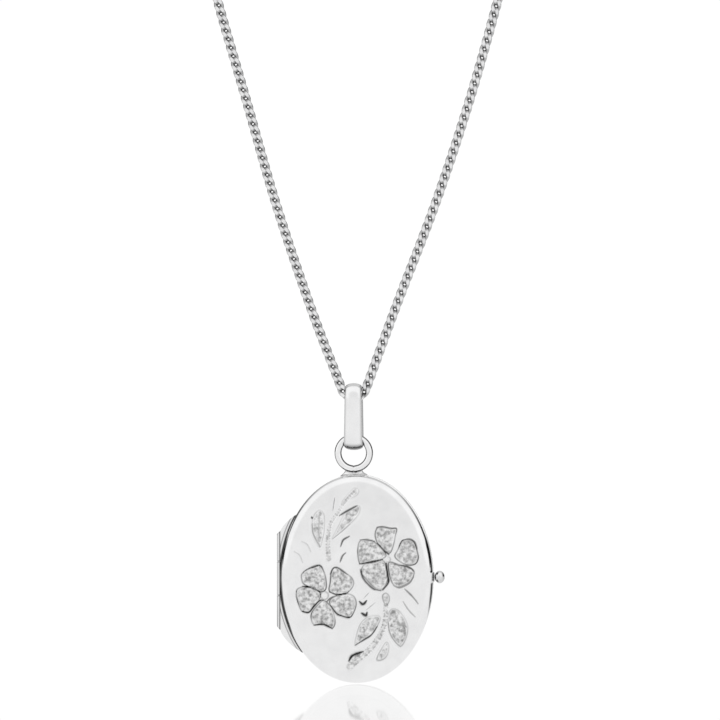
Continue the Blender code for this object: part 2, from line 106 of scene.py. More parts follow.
# Camera and stage
VIEW_CENTRE = Vector((0.33, 0.0, -67.65)) * MM
VIEW_YAW = math.radians(5)
VIEW_RISE = math.radians(1.5)
VIEW_DISTANCE = 0.375
VIEW_LENS = 150
VIEW_SENSOR = 36
FLOOR_Z = -108.15
FLOOR_HALF = 3.0
BACKDROP_WHITE = 1.02
WORLD_FRONT = ((0.0, 0.82), (0.04, 0.84), (0.12, 0.98))
WORLD_BANDS = ((0.93, 0.04), (0.95, 0.62))
WORLD_ABOVE = (0.3, 0.7)
GLOSS_REACH = 0.17
GLOSS_FACING = (0.74, 0.84)
GLOSS_SHARE = 0.5
GLOSS_ROUGHNESS = 0.06
FLOOR_WHITE = 1.01
FLOOR_REFLECTED = 0.86

# Metal
SILVER = ((0.96, 0.96, 0.962), (0.9, 0.9, 0.905))
LINK_SILVER = ((0.97, 0.97, 0.972), (0.84, 0.84, 0.85))
STEEL = ((0.6, 0.6, 0.62), (0.5, 0.5, 0.52))
# Dark colour of the marks: tarnish in the engraved lines, and painted shade and painted dark reflections on
# the other pieces
OXIDE_AND_SHADE = ((0.35, 0.01), (0.75, 0.05))
SPECK = ((0.36, 0.36), (0.48, 0.66), (0.62, 0.95))
SPECK_SHARE = 0.85
STIPPLE_ROUGHNESS = 0.22
SCRATCH_STRETCH = (1.0, 1.0, 0.12)
SCRATCH_TURN = (0.0, 0.5, 0.0)

# Hinge
HINGE_X = -9.6
BARREL_RADIUS = 0.5
BORE_RADIUS = 0.25
BARREL_TOP = 5.9
BARREL_BOTTOM = -6.55
UPPER_SPLIT = 2.06
LOWER_SPLIT = -2.2
KNUCKLE_GAP = 0.08
KNUCKLE_SIDES = 96
KNUCKLE_EASE = 0.05
# Painted shade on the rows of each knuckle, dark at the ends where the knuckles meet
KNUCKLE_DARK = (0.9, 0.9, 0.35, 0, 0, 0.35, 0.9, 0.9)
END_SLANT = 0.9
CHANNEL_RADIUS = 0.53
BEARER_HEIGHT = 0.85
BEARER_TOP_TIP = 7.9
BEARER_BOTTOM_TIP = -9.3
BEARER_TIP_WIDTH = 0.1
BEARER_INNER_X = -8.78
BEARER_OUTER_X = -9.57
# Where the painted dark line on the bearer strip lies, beyond the cover's rim
BEARER_LINE = 0.45
# Painted shade where the barrel meets the cover, and painted dark reflection lines down the tube and along
# its outer edge
BARREL_LINE_X = -9.93
BARREL_INNER_DARK = (-9.78, -9.68)
BARREL_OUTER_DARK = (-10.04, -10.09)

# Catch, photo fittings and thumb piece
LIP_INSET = 0.508
LIP_THICKNESS = 0.3
LIP_PROUD = 0.4
LIP_DEEP = 0.9
LIP_REACH = math.radians(125)
LIP_EASE = (0.08, 0.1)
LIP_STEPS = 161
FRAME_INSET = 0.858
FRAME_WIDTH = 1.15
FRAME_DEPTHS = (0.15, 0.6)
WINDOW_DEPTHS = (0.65, 0.85)
CARD_DEPTHS = (0.9, 1.05)
PLATE_INSET = 1.158
THUMB_X = 9.58
THUMB_Y = -0.5
THUMB_Z = 0.3
THUMB_PLATE = (0.14, 0.4, 0.6)
THUMB_SIDES = 32
# Painted shade on the rows of the thumb washer, nearly black, as the shadowed neck of the ball
THUMB_DARK = (1.0, 0.9, 1.0, 1.0)
BALL_X = 10.38
BALL = (0.63, 0.8, 0.8)
BALL_SHADE = 0.3

# Top ring, its foot and the bail
HANG_X = -0.45
HANG_Y = 0.4
RING_Z = 15.66
RING_RADIUS = 1.975
RING_WIRE = 0.44
RING_SEAM = 1.5 * math.pi
SEAM_DEPTH = 0.12
SEAM_REACH = 0.05
RING_LINE = (0.62, 0.84)
RING_LINE_DARK = 0.9
RING_NICK_DARK = 0.9
RING_NICK_REACH = 0.07
FOOT_HALF_WIDTH = 1.78
FOOT_TOP_HALF_WIDTH = 1.1
FOOT_HALF_DEPTH = 0.46
FOOT_GAP = 0.058
FOOT_SIDES = 48
# Painted shade for each row of the saddle, darkest where it sits on the rim and near the ring
FOOT_DARK = (1, 1, 0.95, 0.6, 0.05, 0, 0.1, 0.3, 0, 0.3, 0.9, 0.5)
SEAT_GAP = 0.03
BAIL_BOTTOM_Z = BAIL_LOW[2]
BAIL_TOP_Z = BAIL_HIGH[2]
BAIL_OUTER_RADIUS = 1.45
BAIL_THICKNESS = 0.53
BAIL_WIDTH = 2.36
BAIL_TOP_WIDTH = 2.06
BAIL_CURVE = 0.85
BAIL_INSIDE = [(0.985, -0.44), (0.93, -0.49), (0.8, -0.5), (0.4, -0.5)]
BAIL_INSIDE_FROM = -0.42
BAIL_INSIDE_DARK = 0.55
BAIL_UNDER = ((3.5, 4.0), (5.0, 4.4))
BAIL_UNDER_DARK = 0.75
BAIL_EDGE = (0.7, 0.98)
BAIL_EDGE_DARK = 0.4

# Clasp
CLASP_RADIUS = 2.15
CLASP_TUBE = 0.6
CLASP_BORE = 0.38
CLASP_MOUTH = (30, 80)
TONGUE_RADIUS = 0.33
TONGUE_ARC = (18, 140)
TRIGGER_ANGLE = 105
TRIGGER_RADIUS = 0.18
TRIGGER_HEIGHT = 1.15
SLOT_ARC = (97, 163)
SLOT_HALF = 0.24
SPRING_ARC = (143, 236)
SPRING_RADIUS = 0.25
SPRING_WIRE = 0.07
SPRING_TURNS = 9
EYE_X = -3.48
EYE_RADIUS = 0.7
EYE_WIRE = 0.25
JUMP_X = -4.53
JUMP_RADIUS = 0.85
JUMP_WIRE = 0.22
END_X = 2.37
END_RADIUS = 1.1
END_WIRE = 0.25


# === Meshes


def loft(rows, ring=False):
    """Points and faces through closed rows of points. ring joins the last row to the first."""
    rows = np.asarray(rows, float)
    count, around = rows.shape[:2]
    index = np.arange(count * around).reshape(count, around)
    runs = np.vstack([index, index[:1]]) if ring else index
    first = runs[:-1]
    second = runs[1:]
    quads = np.stack([first, np.roll(first, -1, 1), np.roll(second, -1, 1), second], -1)
    faces = quads.reshape(-1, 4).tolist()
    if not ring:
        faces += [index[0][::-1].tolist(), index[-1].tolist()]
    return rows.reshape(-1, 3), faces


def full_turn(count):
    """Angles all the way round, in equal steps."""
    return np.linspace(0, 2 * math.pi, count, endpoint=False)


def spoke(turn, across=X, up=Z):
    """A step of length 1 outwards, at an angle."""
    return math.cos(turn) * across + math.sin(turn) * up


def circle(centre, across, up, radius, count):
    turns = full_turn(count)[:, None]
    return np.asarray(centre) + radius * (np.cos(turns) * across + np.sin(turns) * up)


def add_piece(name, shape, material, body, replaces=(), at=LOCKET_AT, marks=None, sharp=35):
    """A piece that rides on a body, if one is named. marks are numbers for each point, for its material."""
    points, faces = shape
    mesh = bpy.data.meshes.new(name)
    mesh.from_pydata(((points + at) * MM).tolist(), [], faces)
    tidy = bmesh.new()
    tidy.from_mesh(mesh)
    bmesh.ops.recalc_face_normals(tidy, faces=tidy.faces)
    tidy.to_mesh(mesh)
    tidy.free()
    for mark, values in (marks or {}).items():
        layer = mesh.attributes.new(mark, "FLOAT", "POINT")
        layer.data.foreach_set("value", np.asarray(values, np.float32))
    mesh.shade_smooth()
    mesh.set_sharp_from_angle(angle=math.radians(sharp))
    mesh.materials.append(material)
    piece = bpy.data.objects.new(name, mesh)
    bpy.context.scene.collection.objects.link(piece)
    if body:
        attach(piece, body)
    if replaces:
        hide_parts(*replaces)
    return piece


# === Materials


def connect(tree, value, socket):
    """Link another node's output to a socket, or set the socket to a plain value."""
    if isinstance(value, bpy.types.NodeSocket):
        tree.links.new(value, socket)
    else:
        socket.default_value = value


def add_node(tree, kind, settings=None, **inputs):
    made = tree.nodes.new(kind)
    for name, value in (settings or {}).items():
        setattr(made, name, value)
    for name, value in inputs.items():
        connect(tree, value, made.inputs[name.replace("_", " ")])
    return made


def calculate(tree, operation, *values):
    made = add_node(tree, "ShaderNodeMath", {"operation": operation})
    for value, socket in zip(values, made.inputs):
        connect(tree, value, socket)
    return made.outputs["Value"]


def noise(tree, place, scale, detail, roughness=0.5):
    made = add_node(tree, "ShaderNodeTexNoise", Vector=place, Scale=scale, Detail=detail, Roughness=roughness)
    return made.outputs["Fac"]


def spread(tree, value, *ends):
    """Map a range of values to another. ends are its first and last, and then what they become."""
    names = ("From_Min", "From_Max", "To_Min", "To_Max")
    return add_node(tree, "ShaderNodeMapRange", Value=value, **dict(zip(names, ends))).outputs["Result"]


def grey(level):
    return (level, level, level, 1)


def ramp(tree, factor, *stops):
    made = tree.nodes.new("ShaderNodeValToRGB")
    tree.links.new(factor, made.inputs["Fac"])
    elements = made.color_ramp.elements
    while len(elements) < len(stops):
        elements.new(0.5)
    for element, (position, colour) in zip(elements, stops):
        element.position = position
        element.color = (*colour, 1) if isinstance(colour, tuple) else grey(colour)
    return made.outputs["Color"]


def mix_colour(tree, factor, first, second):
    made = tree.nodes.new("ShaderNodeMix")
    made.data_type = "RGBA"
    for value, number in ((factor, 0), (first, 6), (second, 7)):
        connect(tree, value, made.inputs[number])
    return made.outputs[2]


def new_material(name):
    material = bpy.data.materials.new(name)
    material.use_nodes = True
    tree = material.node_tree
    place = tree.nodes.new("ShaderNodeTexCoord").outputs["Object"]
    return material, tree, tree.nodes["Principled BSDF"], place


def make_metal(name, bright, dull, roughness, scratch_depth, engraved=False):
    """Polished metal with a faint patina, fine scratches, and a dark colour wherever a piece is marked:
    tarnish in engraved lines, and painted shade and painted dark reflections on the other pieces.
    """
    material, tree, shader, place = new_material(name)
    shader.inputs["Metallic"].default_value = 1.0
    colour = ramp(tree, noise(tree, place, 420.0, 5.0, 0.6), (0.3, dull), (0.62, bright))
    # The mark holds tarnish in engraved lines and painted shade elsewhere; its dark colour is mixed into the
    # base colour
    mark = add_node(tree, "ShaderNodeAttribute", {"attribute_name": "cut"}).outputs["Fac"]
    oxide_and_shade_colour = ramp(tree, noise(tree, place, 5200.0, 3.0), *OXIDE_AND_SHADE)
    colour = mix_colour(tree, mark, colour, oxide_and_shade_colour)
    shine = spread(tree, noise(tree, place, 900.0, 6.0, 0.7), 0.3, 0.75, roughness * 0.6, roughness * 1.6)
    stretched = add_node(tree, "ShaderNodeMapping", Vector=place, Scale=SCRATCH_STRETCH,
                         Rotation=SCRATCH_TURN).outputs["Vector"]
    if engraved:
        stipple = add_node(tree, "ShaderNodeAttribute", {"attribute_name": "stipple"}).outputs["Fac"]
        speck = ramp(tree, noise(tree, place, 2300.0, 3.0), *SPECK)
        spotted = mix_colour(tree, SPECK_SHARE, colour, speck)
        colour = mix_colour(tree, stipple, colour, spotted)
        shine = calculate(tree, "MULTIPLY_ADD", stipple, STIPPLE_ROUGHNESS, shine)
    tree.links.new(colour, shader.inputs["Base Color"])
    tree.links.new(shine, shader.inputs["Roughness"])
    bump = add_node(tree, "ShaderNodeBump", Strength=0.35, Distance=scratch_depth * MM,
                    Height=noise(tree, stretched, 9000.0, 2.0))
    tree.links.new(bump.outputs["Normal"], shader.inputs["Normal"])
    return material


def make_window_material():
    """Clear acetate, faintly clouded."""
    material, tree, shader, place = new_material("clear_acetate")
    cloud = noise(tree, place, 350.0, 4.0)
    colour = ramp(tree, cloud, (0.3, (0.93, 0.94, 0.94)), (0.7, (0.99, 0.99, 0.99)))
    tree.links.new(colour, shader.inputs["Base Color"])
    tree.links.new(spread(tree, cloud, 0.0, 1.0, 0.02, 0.1), shader.inputs["Roughness"])
    shader.inputs["Transmission Weight"].default_value = 1.0
    shader.inputs["IOR"].default_value = 1.2
    return material


def make_card_material():
    """Blank photo card: cream stock with fibres."""
    material, tree, shader, place = new_material("blank_card")
    fibre = noise(tree, place, 2600.0, 6.0, 0.7)
    colour = ramp(tree, fibre, (0.3, (0.72, 0.69, 0.62)), (0.7, (0.87, 0.85, 0.79)))
    tree.links.new(colour, shader.inputs["Base Color"])
    tree.links.new(spread(tree, fibre, 0.0, 1.0, 0.55, 0.85), shader.inputs["Roughness"])
    bump = add_node(tree, "ShaderNodeBump", Strength=0.4, Distance=0.02 * MM, Height=fibre)
    tree.links.new(bump.outputs["Normal"], shader.inputs["Normal"])
    return material


# === Engraving


def rise(value, low, high):
    """0 below low and 1 above high, with a smooth step between. low may be the larger."""
    share = np.clip((value - low) / (high - low), 0, 1)
    return share * share * (3 - 2 * share)


def bell(value):
    """A bell curve, 1 at 0 and nearly 0 beyond 2 on either side."""
    return np.exp(-(value**2))


def spline(a, b, c, d, t):
    """A place between b and c on the Catmull-Rom curve through four points."""
    return 0.5 * (2 * b + (c - a) * t + (2 * a - 5 * b + 4 * c - d) * t**2 + (3 * b - a - 3 * c + d) * t**3)


def smooth(points, closed=False, steps=5):
    """A curve through the points."""
    points = np.asarray(points, float)
    if closed:
        ends = [points[-1], *points, points[0], points[1]]
    else:
        ends = [2 * points[0] - points[1], *points, 2 * points[-1] - points[-2]]
    line = []
    for near in zip(ends, ends[1:], ends[2:], ends[3:]):
        line += [spline(*near, t) for t in np.arange(steps) / steps]
    return np.array(line if closed else [*line, points[-1]])


def outline_distance(x, z, outline):
    """Distance to a closed outline, negative inside it."""
    distance = np.full(x.shape, 1e9)
    inside = np.zeros(x.shape, bool)
    for (ax, az), (bx, bz) in zip(np.roll(outline, 1, axis=0), outline):
        ex, ez = bx - ax, bz - az
        t = np.clip(((x - ax) * ex + (z - az) * ez) / (ex * ex + ez * ez + 1e-12), 0, 1)
        distance = np.minimum(distance, np.hypot(x - ax - t * ex, z - az - t * ez))
        if az != bz:
            inside ^= ((az > z) != (bz > z)) & (x < ax + (z - az) * ex / ez)
    return np.where(inside, -distance, distance)


def stroke_distance(x, z, points):
    """Distance to an open line, and how far along it the nearest point is, in millimetres."""
    distance = np.full(x.shape, 1e9)
    along = np.zeros(x.shape)
    gone = 0.0
    for (ax, az), (bx, bz) in zip(points, points[1:]):
        ex, ez = bx - ax, bz - az
        length = math.hypot(ex, ez)
        t = np.clip(((x - ax) * ex + (z - az) * ez) / length**2, 0, 1)
        near = np.hypot(x - ax - t * ex, z - az - t * ez)
        closer = near < distance
        distance = np.where(closer, near, distance)
        along = np.where(closer, gone + t * length, along)
        gone += length
    return distance, along, gone


def value_noise(x, z, cell, seed):
    """Smooth random heights from 0 to 1, one to each cell."""
    table = np.random.default_rng(seed).random((256, 256))
    gx, gz = x / cell + 400, z / cell + 400
    ix, iz = np.floor(gx).astype(int), np.floor(gz).astype(int)
    fx, fz = gx - ix, gz - iz
    fx, fz = fx * fx * (3 - 2 * fx), fz * fz * (3 - 2 * fz)

    def corner(i, j):
        return table[(ix + i) % 256, (iz + j) % 256]

    low = corner(0, 0) * (1 - fx) + corner(1, 0) * fx
    high = corner(0, 1) * (1 - fx) + corner(1, 1) * fx
    return low * (1 - fz) + high * fz


# Recessed fields, as outlines in the locket frame: how strongly each is stippled, how dark its edge is
PETALS = [
    [(2.5, 6.5), (3.2, 6.55), (4.05, 6.4), (4.9, 6.4), (4.75, 5.5), (4.55, 4.45), (4.15, 3.45), (3.5, 3.5),
     (2.7, 4.35), (2.25, 5.5)],
    [(0.4, 4.9), (1.35, 4.95), (2.15, 4.75), (2.8, 4.15), (3.6, 3.2), (3.2, 2.7), (1.95, 2.4), (0.6, 2.0),
     (0.2, 2.5), (0.1, 3.85)],
    [(5.6, 4.9), (6.45, 5.05), (7.05, 4.75), (7.4, 3.85), (7.6, 2.8), (7.25, 2.05), (6.35, 1.9), (5.3, 2.35),
     (4.7, 3.0), (5.1, 3.85)],
    [(1.1, 2.0), (2.15, 2.2), (3.3, 2.4), (3.65, 1.35), (3.8, 0.1), (3.3, -0.95), (2.7, -1.1), (1.95, -0.7),
     (1.1, 0.2), (0.55, 0.9), (0.7, 1.65)],
    [(4.0, 2.25), (5.1, 2.0), (6.35, 1.7), (7.05, 1.15), (6.95, 0.4), (6.45, -0.25), (5.3, -0.8),
     (4.55, -0.55), (4.15, 0.3), (3.95, 1.35)],
    [(-6.9, 0.7), (-6.25, 1.25), (-5.35, 1.55), (-4.7, 1.75), (-4.2, 1.1), (-3.9, 0.1), (-3.9, -1.15),
     (-4.6, -1.5), (-5.75, -1.05), (-6.7, -0.55), (-6.95, 0.1)],
    [(-3.25, 0.7), (-2.95, 1.45), (-2.4, 1.5), (-1.8, 1.0), (-1.15, 0.7), (-0.55, 0.1), (-0.45, -0.65),
     (-1.15, -1.5), (-2.4, -1.8), (-3.45, -1.4), (-3.35, -0.35)],
    [(-3.35, -2.5), (-2.6, -2.0), (-1.4, -1.7), (-0.45, -2.0), (-0.1, -2.85), (-0.35, -3.9), (-0.95, -4.7),
     (-2.0, -4.5), (-2.85, -3.75), (-3.35, -3.15)],
    [(-4.2, -2.6), (-3.45, -3.15), (-2.95, -4.1), (-2.75, -5.35), (-3.15, -6.05), (-4.1, -5.55),
     (-5.35, -5.65), (-5.75, -4.9), (-5.65, -4.1), (-4.9, -3.15)],
    [(-7.5, -1.25), (-6.6, -0.9), (-5.35, -1.05), (-4.6, -1.7), (-4.75, -2.5), (-5.45, -3.45),
     (-6.15, -4.1), (-6.9, -4.0), (-7.4, -2.95), (-7.6, -2.0)],
]
HUBS = [((3.85, 2.6), 0.3), ((-4.05, -1.95), 0.52)]
LEAVES = [
    ([(4.45, -3.55), (5.3, -3.9), (6.1, -5.1), (6.3, -6.15), (6.0, -7.4), (5.4, -8.25), (4.65, -7.6),
      (4.05, -6.4), (3.85, -5.1), (3.95, -4.1)], 1.0, 0.35),
    ([(0.0, -6.6), (0.5, -5.35), (1.35, -4.6), (2.4, -4.4), (2.9, -4.7), (2.5, -5.75), (1.75, -6.8),
      (0.7, -7.5), (-0.25, -8.15)], 0.85, 0.35),
    ([(3.0, -8.65), (3.6, -7.75), (3.95, -8.15), (3.75, -9.3), (3.2, -9.9), (2.5, -10.0), (2.55, -9.5)],
     0.7, 0.4),
    ([(-1.05, -10.1), (-0.45, -9.4), (0.7, -9.0), (0.6, -9.5), (-0.1, -9.9), (-0.75, -10.35)], 1.0, 0.9),
    ([(-5.65, 6.95), (-5.35, 8.1), (-4.7, 8.65), (-4.2, 8.2), (-4.05, 7.4), (-4.1, 6.1), (-4.3, 5.1),
      (-4.6, 4.05), (-5.1, 4.65), (-5.55, 5.7)], 0.5, 0.25),
    ([(-2.2, 6.95), (-1.6, 8.2), (-0.75, 8.85), (0.2, 9.2), (0.35, 8.6), (-0.1, 7.8), (-0.95, 6.95),
      (-2.0, 6.0), (-3.05, 5.1), (-2.75, 5.9)], 0.6, 0.25),
    ([(-1.9, 9.65), (-1.15, 10.7), (-0.35, 11.45), (0.2, 11.1), (-0.1, 10.5), (-0.95, 10.1),
      (-1.6, 9.45)], 0.3, 0.15),
    ([(3.2, -1.9), (3.6, -1.6), (4.0, -2.0), (3.95, -2.75), (3.6, -3.05), (3.3, -2.6)], 0.9, 0.6),
]
# Stems: points, half-width at the start and at the end, stipple
STEMS = [
    ([(3.6, -3.1), (3.5, -5.1), (3.0, -6.6), (2.15, -7.95), (1.1, -9.1), (-0.1, -10.1), (-0.95, -10.85)],
     0.22, 0.38, 0.9),
    ([(-3.55, 2.6), (-3.65, 4.45), (-3.55, 5.9), (-3.25, 7.15), (-2.4, 8.4), (-1.6, 9.65), (-0.1, 11.35)],
     0.26, 0.1, 0.55),
]
# Strokes of the graver: points, half-width, darkness
STROKES = [
    ([(2.5, 4.6), (3.3, 3.85), (3.95, 3.2)], 0.13, 1.0),
    ([(0.3, 2.0), (1.95, 2.3), (3.2, 2.6)], 0.12, 1.0),
    ([(3.65, 2.15), (3.8, 0.7), (3.9, -0.25), (3.2, -1.2)], 0.13, 1.0),
    ([(4.15, 2.05), (5.3, 1.85), (6.35, 1.65), (7.05, 1.1)], 0.11, 0.95),
    ([(0.4, 1.35), (0.8, 0.2), (1.95, -1.0), (3.0, -1.3)], 0.11, 0.9),
    ([(2.45, 6.6), (3.2, 6.65), (4.05, 6.5), (4.9, 6.5)], 0.08, 0.8),
    ([(0.35, 5.0), (1.35, 5.05), (2.2, 4.85)], 0.08, 0.75),
    ([(5.55, 4.95), (6.45, 5.15), (7.15, 4.8), (7.5, 3.85)], 0.08, 0.75),
    ([(4.5, -0.65), (5.3, -0.95), (6.5, -0.35), (7.05, 0.4)], 0.08, 0.7),
    ([(-6.85, -0.85), (-5.75, -1.1), (-4.65, -1.55)], 0.12, 1.0),
    ([(-6.9, -4.0), (-6.05, -4.1), (-5.35, -3.25), (-4.65, -2.6), (-4.2, -2.55)], 0.13, 1.0),
    ([(-3.5, -1.5), (-2.4, -1.85), (-1.4, -1.7), (-1.0, -1.4)], 0.11, 0.9),
    ([(-3.85, -2.8), (-3.35, -2.3), (-2.85, -2.05)], 0.1, 0.85),
    ([(-3.35, -3.15), (-2.4, -4.3), (-0.85, -4.65)], 0.12, 1.0),
    ([(-5.4, -5.7), (-4.2, -5.6), (-3.1, -6.1)], 0.12, 1.0),
    ([(-3.35, 0.7), (-2.9, 1.5), (-2.2, 1.4), (-1.15, 0.65)], 0.1, 0.9),
    ([(-6.9, 0.7), (-6.25, 1.25), (-4.7, 1.8), (-4.1, 0.9)], 0.1, 0.85),
    ([(-7.6, -1.3), (-7.7, -2.1), (-7.5, -3.0)], 0.06, 0.4),
    ([(0.3, -2.65), (0.75, -3.0), (1.2, -2.55)], 0.15, 1.0),
    ([(0.55, -4.1), (1.1, -4.4), (1.25, -4.0)], 0.15, 1.0),
    ([(0.8, -2.3), (1.45, -1.6)], 0.05, 0.45),
    ([(1.1, -3.75), (2.25, -2.8)], 0.05, 0.45),
    ([(5.9, -1.05), (6.95, -2.1), (7.6, -2.95)], 0.09, 0.75),
    ([(5.7, -2.6), (6.35, -3.65), (7.25, -4.6)], 0.07, 0.55),
    ([(-0.95, 5.45), (-1.7, 5.0), (-2.05, 4.15)], 0.11, 0.9),
    ([(-1.4, 3.4), (-1.8, 3.0), (-2.1, 2.25)], 0.1, 0.85),
    ([(-2.2, 8.0), (-1.4, 8.5), (0.0, 9.25)], 0.12, 0.9),
    ([(-7.0, 4.75), (-6.25, 4.35), (-5.75, 3.4)], 0.05, 0.3),
    ([(-7.95, 3.5), (-7.2, 3.0), (-6.8, 2.05)], 0.05, 0.3),
    ([(-2.8, 10.2), (-3.05, 8.6)], 0.06, 0.5),
    ([(-5.72, 7.8), (-5.6, 7.6)], 0.14, 1.0),
    ([(-5.65, 6.95), (-5.5, 5.7), (-4.6, 4.05)], 0.08, 0.6),
    ([(-3.05, 5.1), (-2.0, 5.95), (-0.85, 6.95)], 0.07, 0.5),
    ([(-0.25, -8.15), (0.7, -7.55), (1.8, -6.8), (2.55, -5.7)], 0.1, 0.95),
    ([(-1.05, -10.15), (-0.55, -9.45), (0.75, -8.95)], 0.18, 1.0),
    ([(3.85, -5.1), (4.05, -6.5), (4.7, -7.65), (5.4, -8.3)], 0.08, 0.6),
]
ENGRAVING_SHIFT = 0.2
CUT_HALF_WIDTH = 0.085
CUT_DEPTH = 0.09
STROKE_DEPTH = 0.08
FIELD_DEPTH = 0.12
BORDER = 0.1
PETAL_EDGE = 0.8
GRAIN = 0.56
FLECK = 0.42
SQUIGGLE = 0.17
BEAD_PITCH = 0.36
HINGE_SHADOW = ((-8.6, -5.5), (7.2, 4.2))
HINGE_SHADOW_WIDTH = 0.3
SPLIT_SHADOW = ((-6.0, -2.0), (6.5, 4.0))
SPLIT_SHADOW_WIDTH = 0.26
GAP_DEPTH = 0.12


def engrave(x, z):
    """Relief in millimetres, and the marks, at each point of the front's face."""
    x = x - ENGRAVING_SHIFT
    grain = value_noise(x, z, GRAIN, 3)
    fleck = value_noise(x, z, FLECK, 8)
    wander = value_noise(x, z, 0.9, 5)
    squiggle = bell((grain - 0.5) / SQUIGGLE) * rise(wander, 0.15, 0.6)
    squiggle = np.maximum(squiggle, rise(fleck, 0.78, 0.95))
    relief = np.zeros(x.shape)
    cut = np.zeros(x.shape)
    stipple = np.zeros(x.shape)

    for points, strength, edge in [(points, 1.0, PETAL_EDGE) for points in PETALS] + LEAVES:
        distance = outline_distance(x, z, smooth(points, closed=True))
        field = rise(distance, -BORDER, -BORDER - 0.12) * strength
        groove = bell(distance / CUT_HALF_WIDTH) * edge * (0.45 + 1.1 * wander)
        lip = bell((distance - 0.2) / 0.12) * (1 - rise(stipple, 0, 0.2))
        relief += 0.02 * lip - CUT_DEPTH * groove
        relief -= FIELD_DEPTH * field * (0.35 + 0.8 * grain + 0.4 * squiggle)
        cut = np.maximum(cut, np.clip(groove, 0, 1))
        cut = np.maximum(cut, np.clip(1.3 * field * squiggle, 0, 1))
        stipple = np.maximum(stipple, field)
    for centre, middle in HUBS:
        hub = np.hypot(x - centre[0], z - centre[1]) + 0.12 * (wander - 0.5)
        inside = hub < middle
        cut = np.where(inside, 0.0, cut)
        stipple = np.where(inside, 0.1, stipple)
        relief = np.where(inside, 0.05 * rise(hub, middle, middle * 0.5), relief)
        cut = np.maximum(cut, 0.5 * bell((hub - middle) / 0.09) * rise(wander, 0.2, 0.6))
    for points, first, last, strength in STEMS:
        distance, along, whole = stroke_distance(x, z, smooth(points))
        half_width = first + (last - first) * along / whole
        band = rise(distance, half_width + 0.08, half_width - 0.06)
        bead = 0.5 + 0.5 * np.cos(2 * math.pi * along / BEAD_PITCH)
        side = bell((distance - half_width * 0.8) / 0.1)
        relief -= band * (0.05 + 0.05 * grain) + 0.05 * side * bead
        cut = np.maximum(cut, strength * side * rise(bead, 0.35, 0.95) * (0.4 + 0.9 * fleck))
        cut = np.maximum(cut, strength * band * rise(fleck, 0.6, 0.9))
        stipple = np.maximum(stipple, strength * band)
    for points, half_width, darkness in STROKES:
        distance, along, whole = stroke_distance(x, z, smooth(points))
        taper = np.sin(math.pi * np.clip(0.1 + 0.8 * along / whole, 0, 1)) ** 0.6
        groove = bell(distance / (half_width * taper * (0.8 + 0.5 * fleck) + 1e-3))
        relief -= STROKE_DEPTH * groove
        cut = np.maximum(cut, darkness * np.clip(1.35 * groove, 0, 1))
    return relief, np.clip(cut, 0, 1), np.clip(stipple, 0, 1)


def edge_gap_shade(x, z):
    """Painted shade at the face's edge, and how deep it is: all along the hinge, and at the split beside the
    thumb piece. The same amount also sets a shallow groove there.
    """
    from_edge = HALF_WIDTH * (1 - np.hypot(x / HALF_WIDTH, z / HALF_HEIGHT))
    hinge = rise(z, *HINGE_SHADOW[0]) * rise(z, *HINGE_SHADOW[1]) * (x < 0)
    split = rise(z, *SPLIT_SHADOW[0]) * rise(z, *SPLIT_SHADOW[1]) * (x > 0)
    split = split * rise(np.abs(z - THUMB_Z), THUMB_PLATE[2] * 0.8, THUMB_PLATE[2] * 1.3)
    width = 1e-3 + HINGE_SHADOW_WIDTH * hinge + SPLIT_SHADOW_WIDTH * split
    return rise(from_edge, width, width * 0.5) * np.maximum(hinge, split)


# === Covers


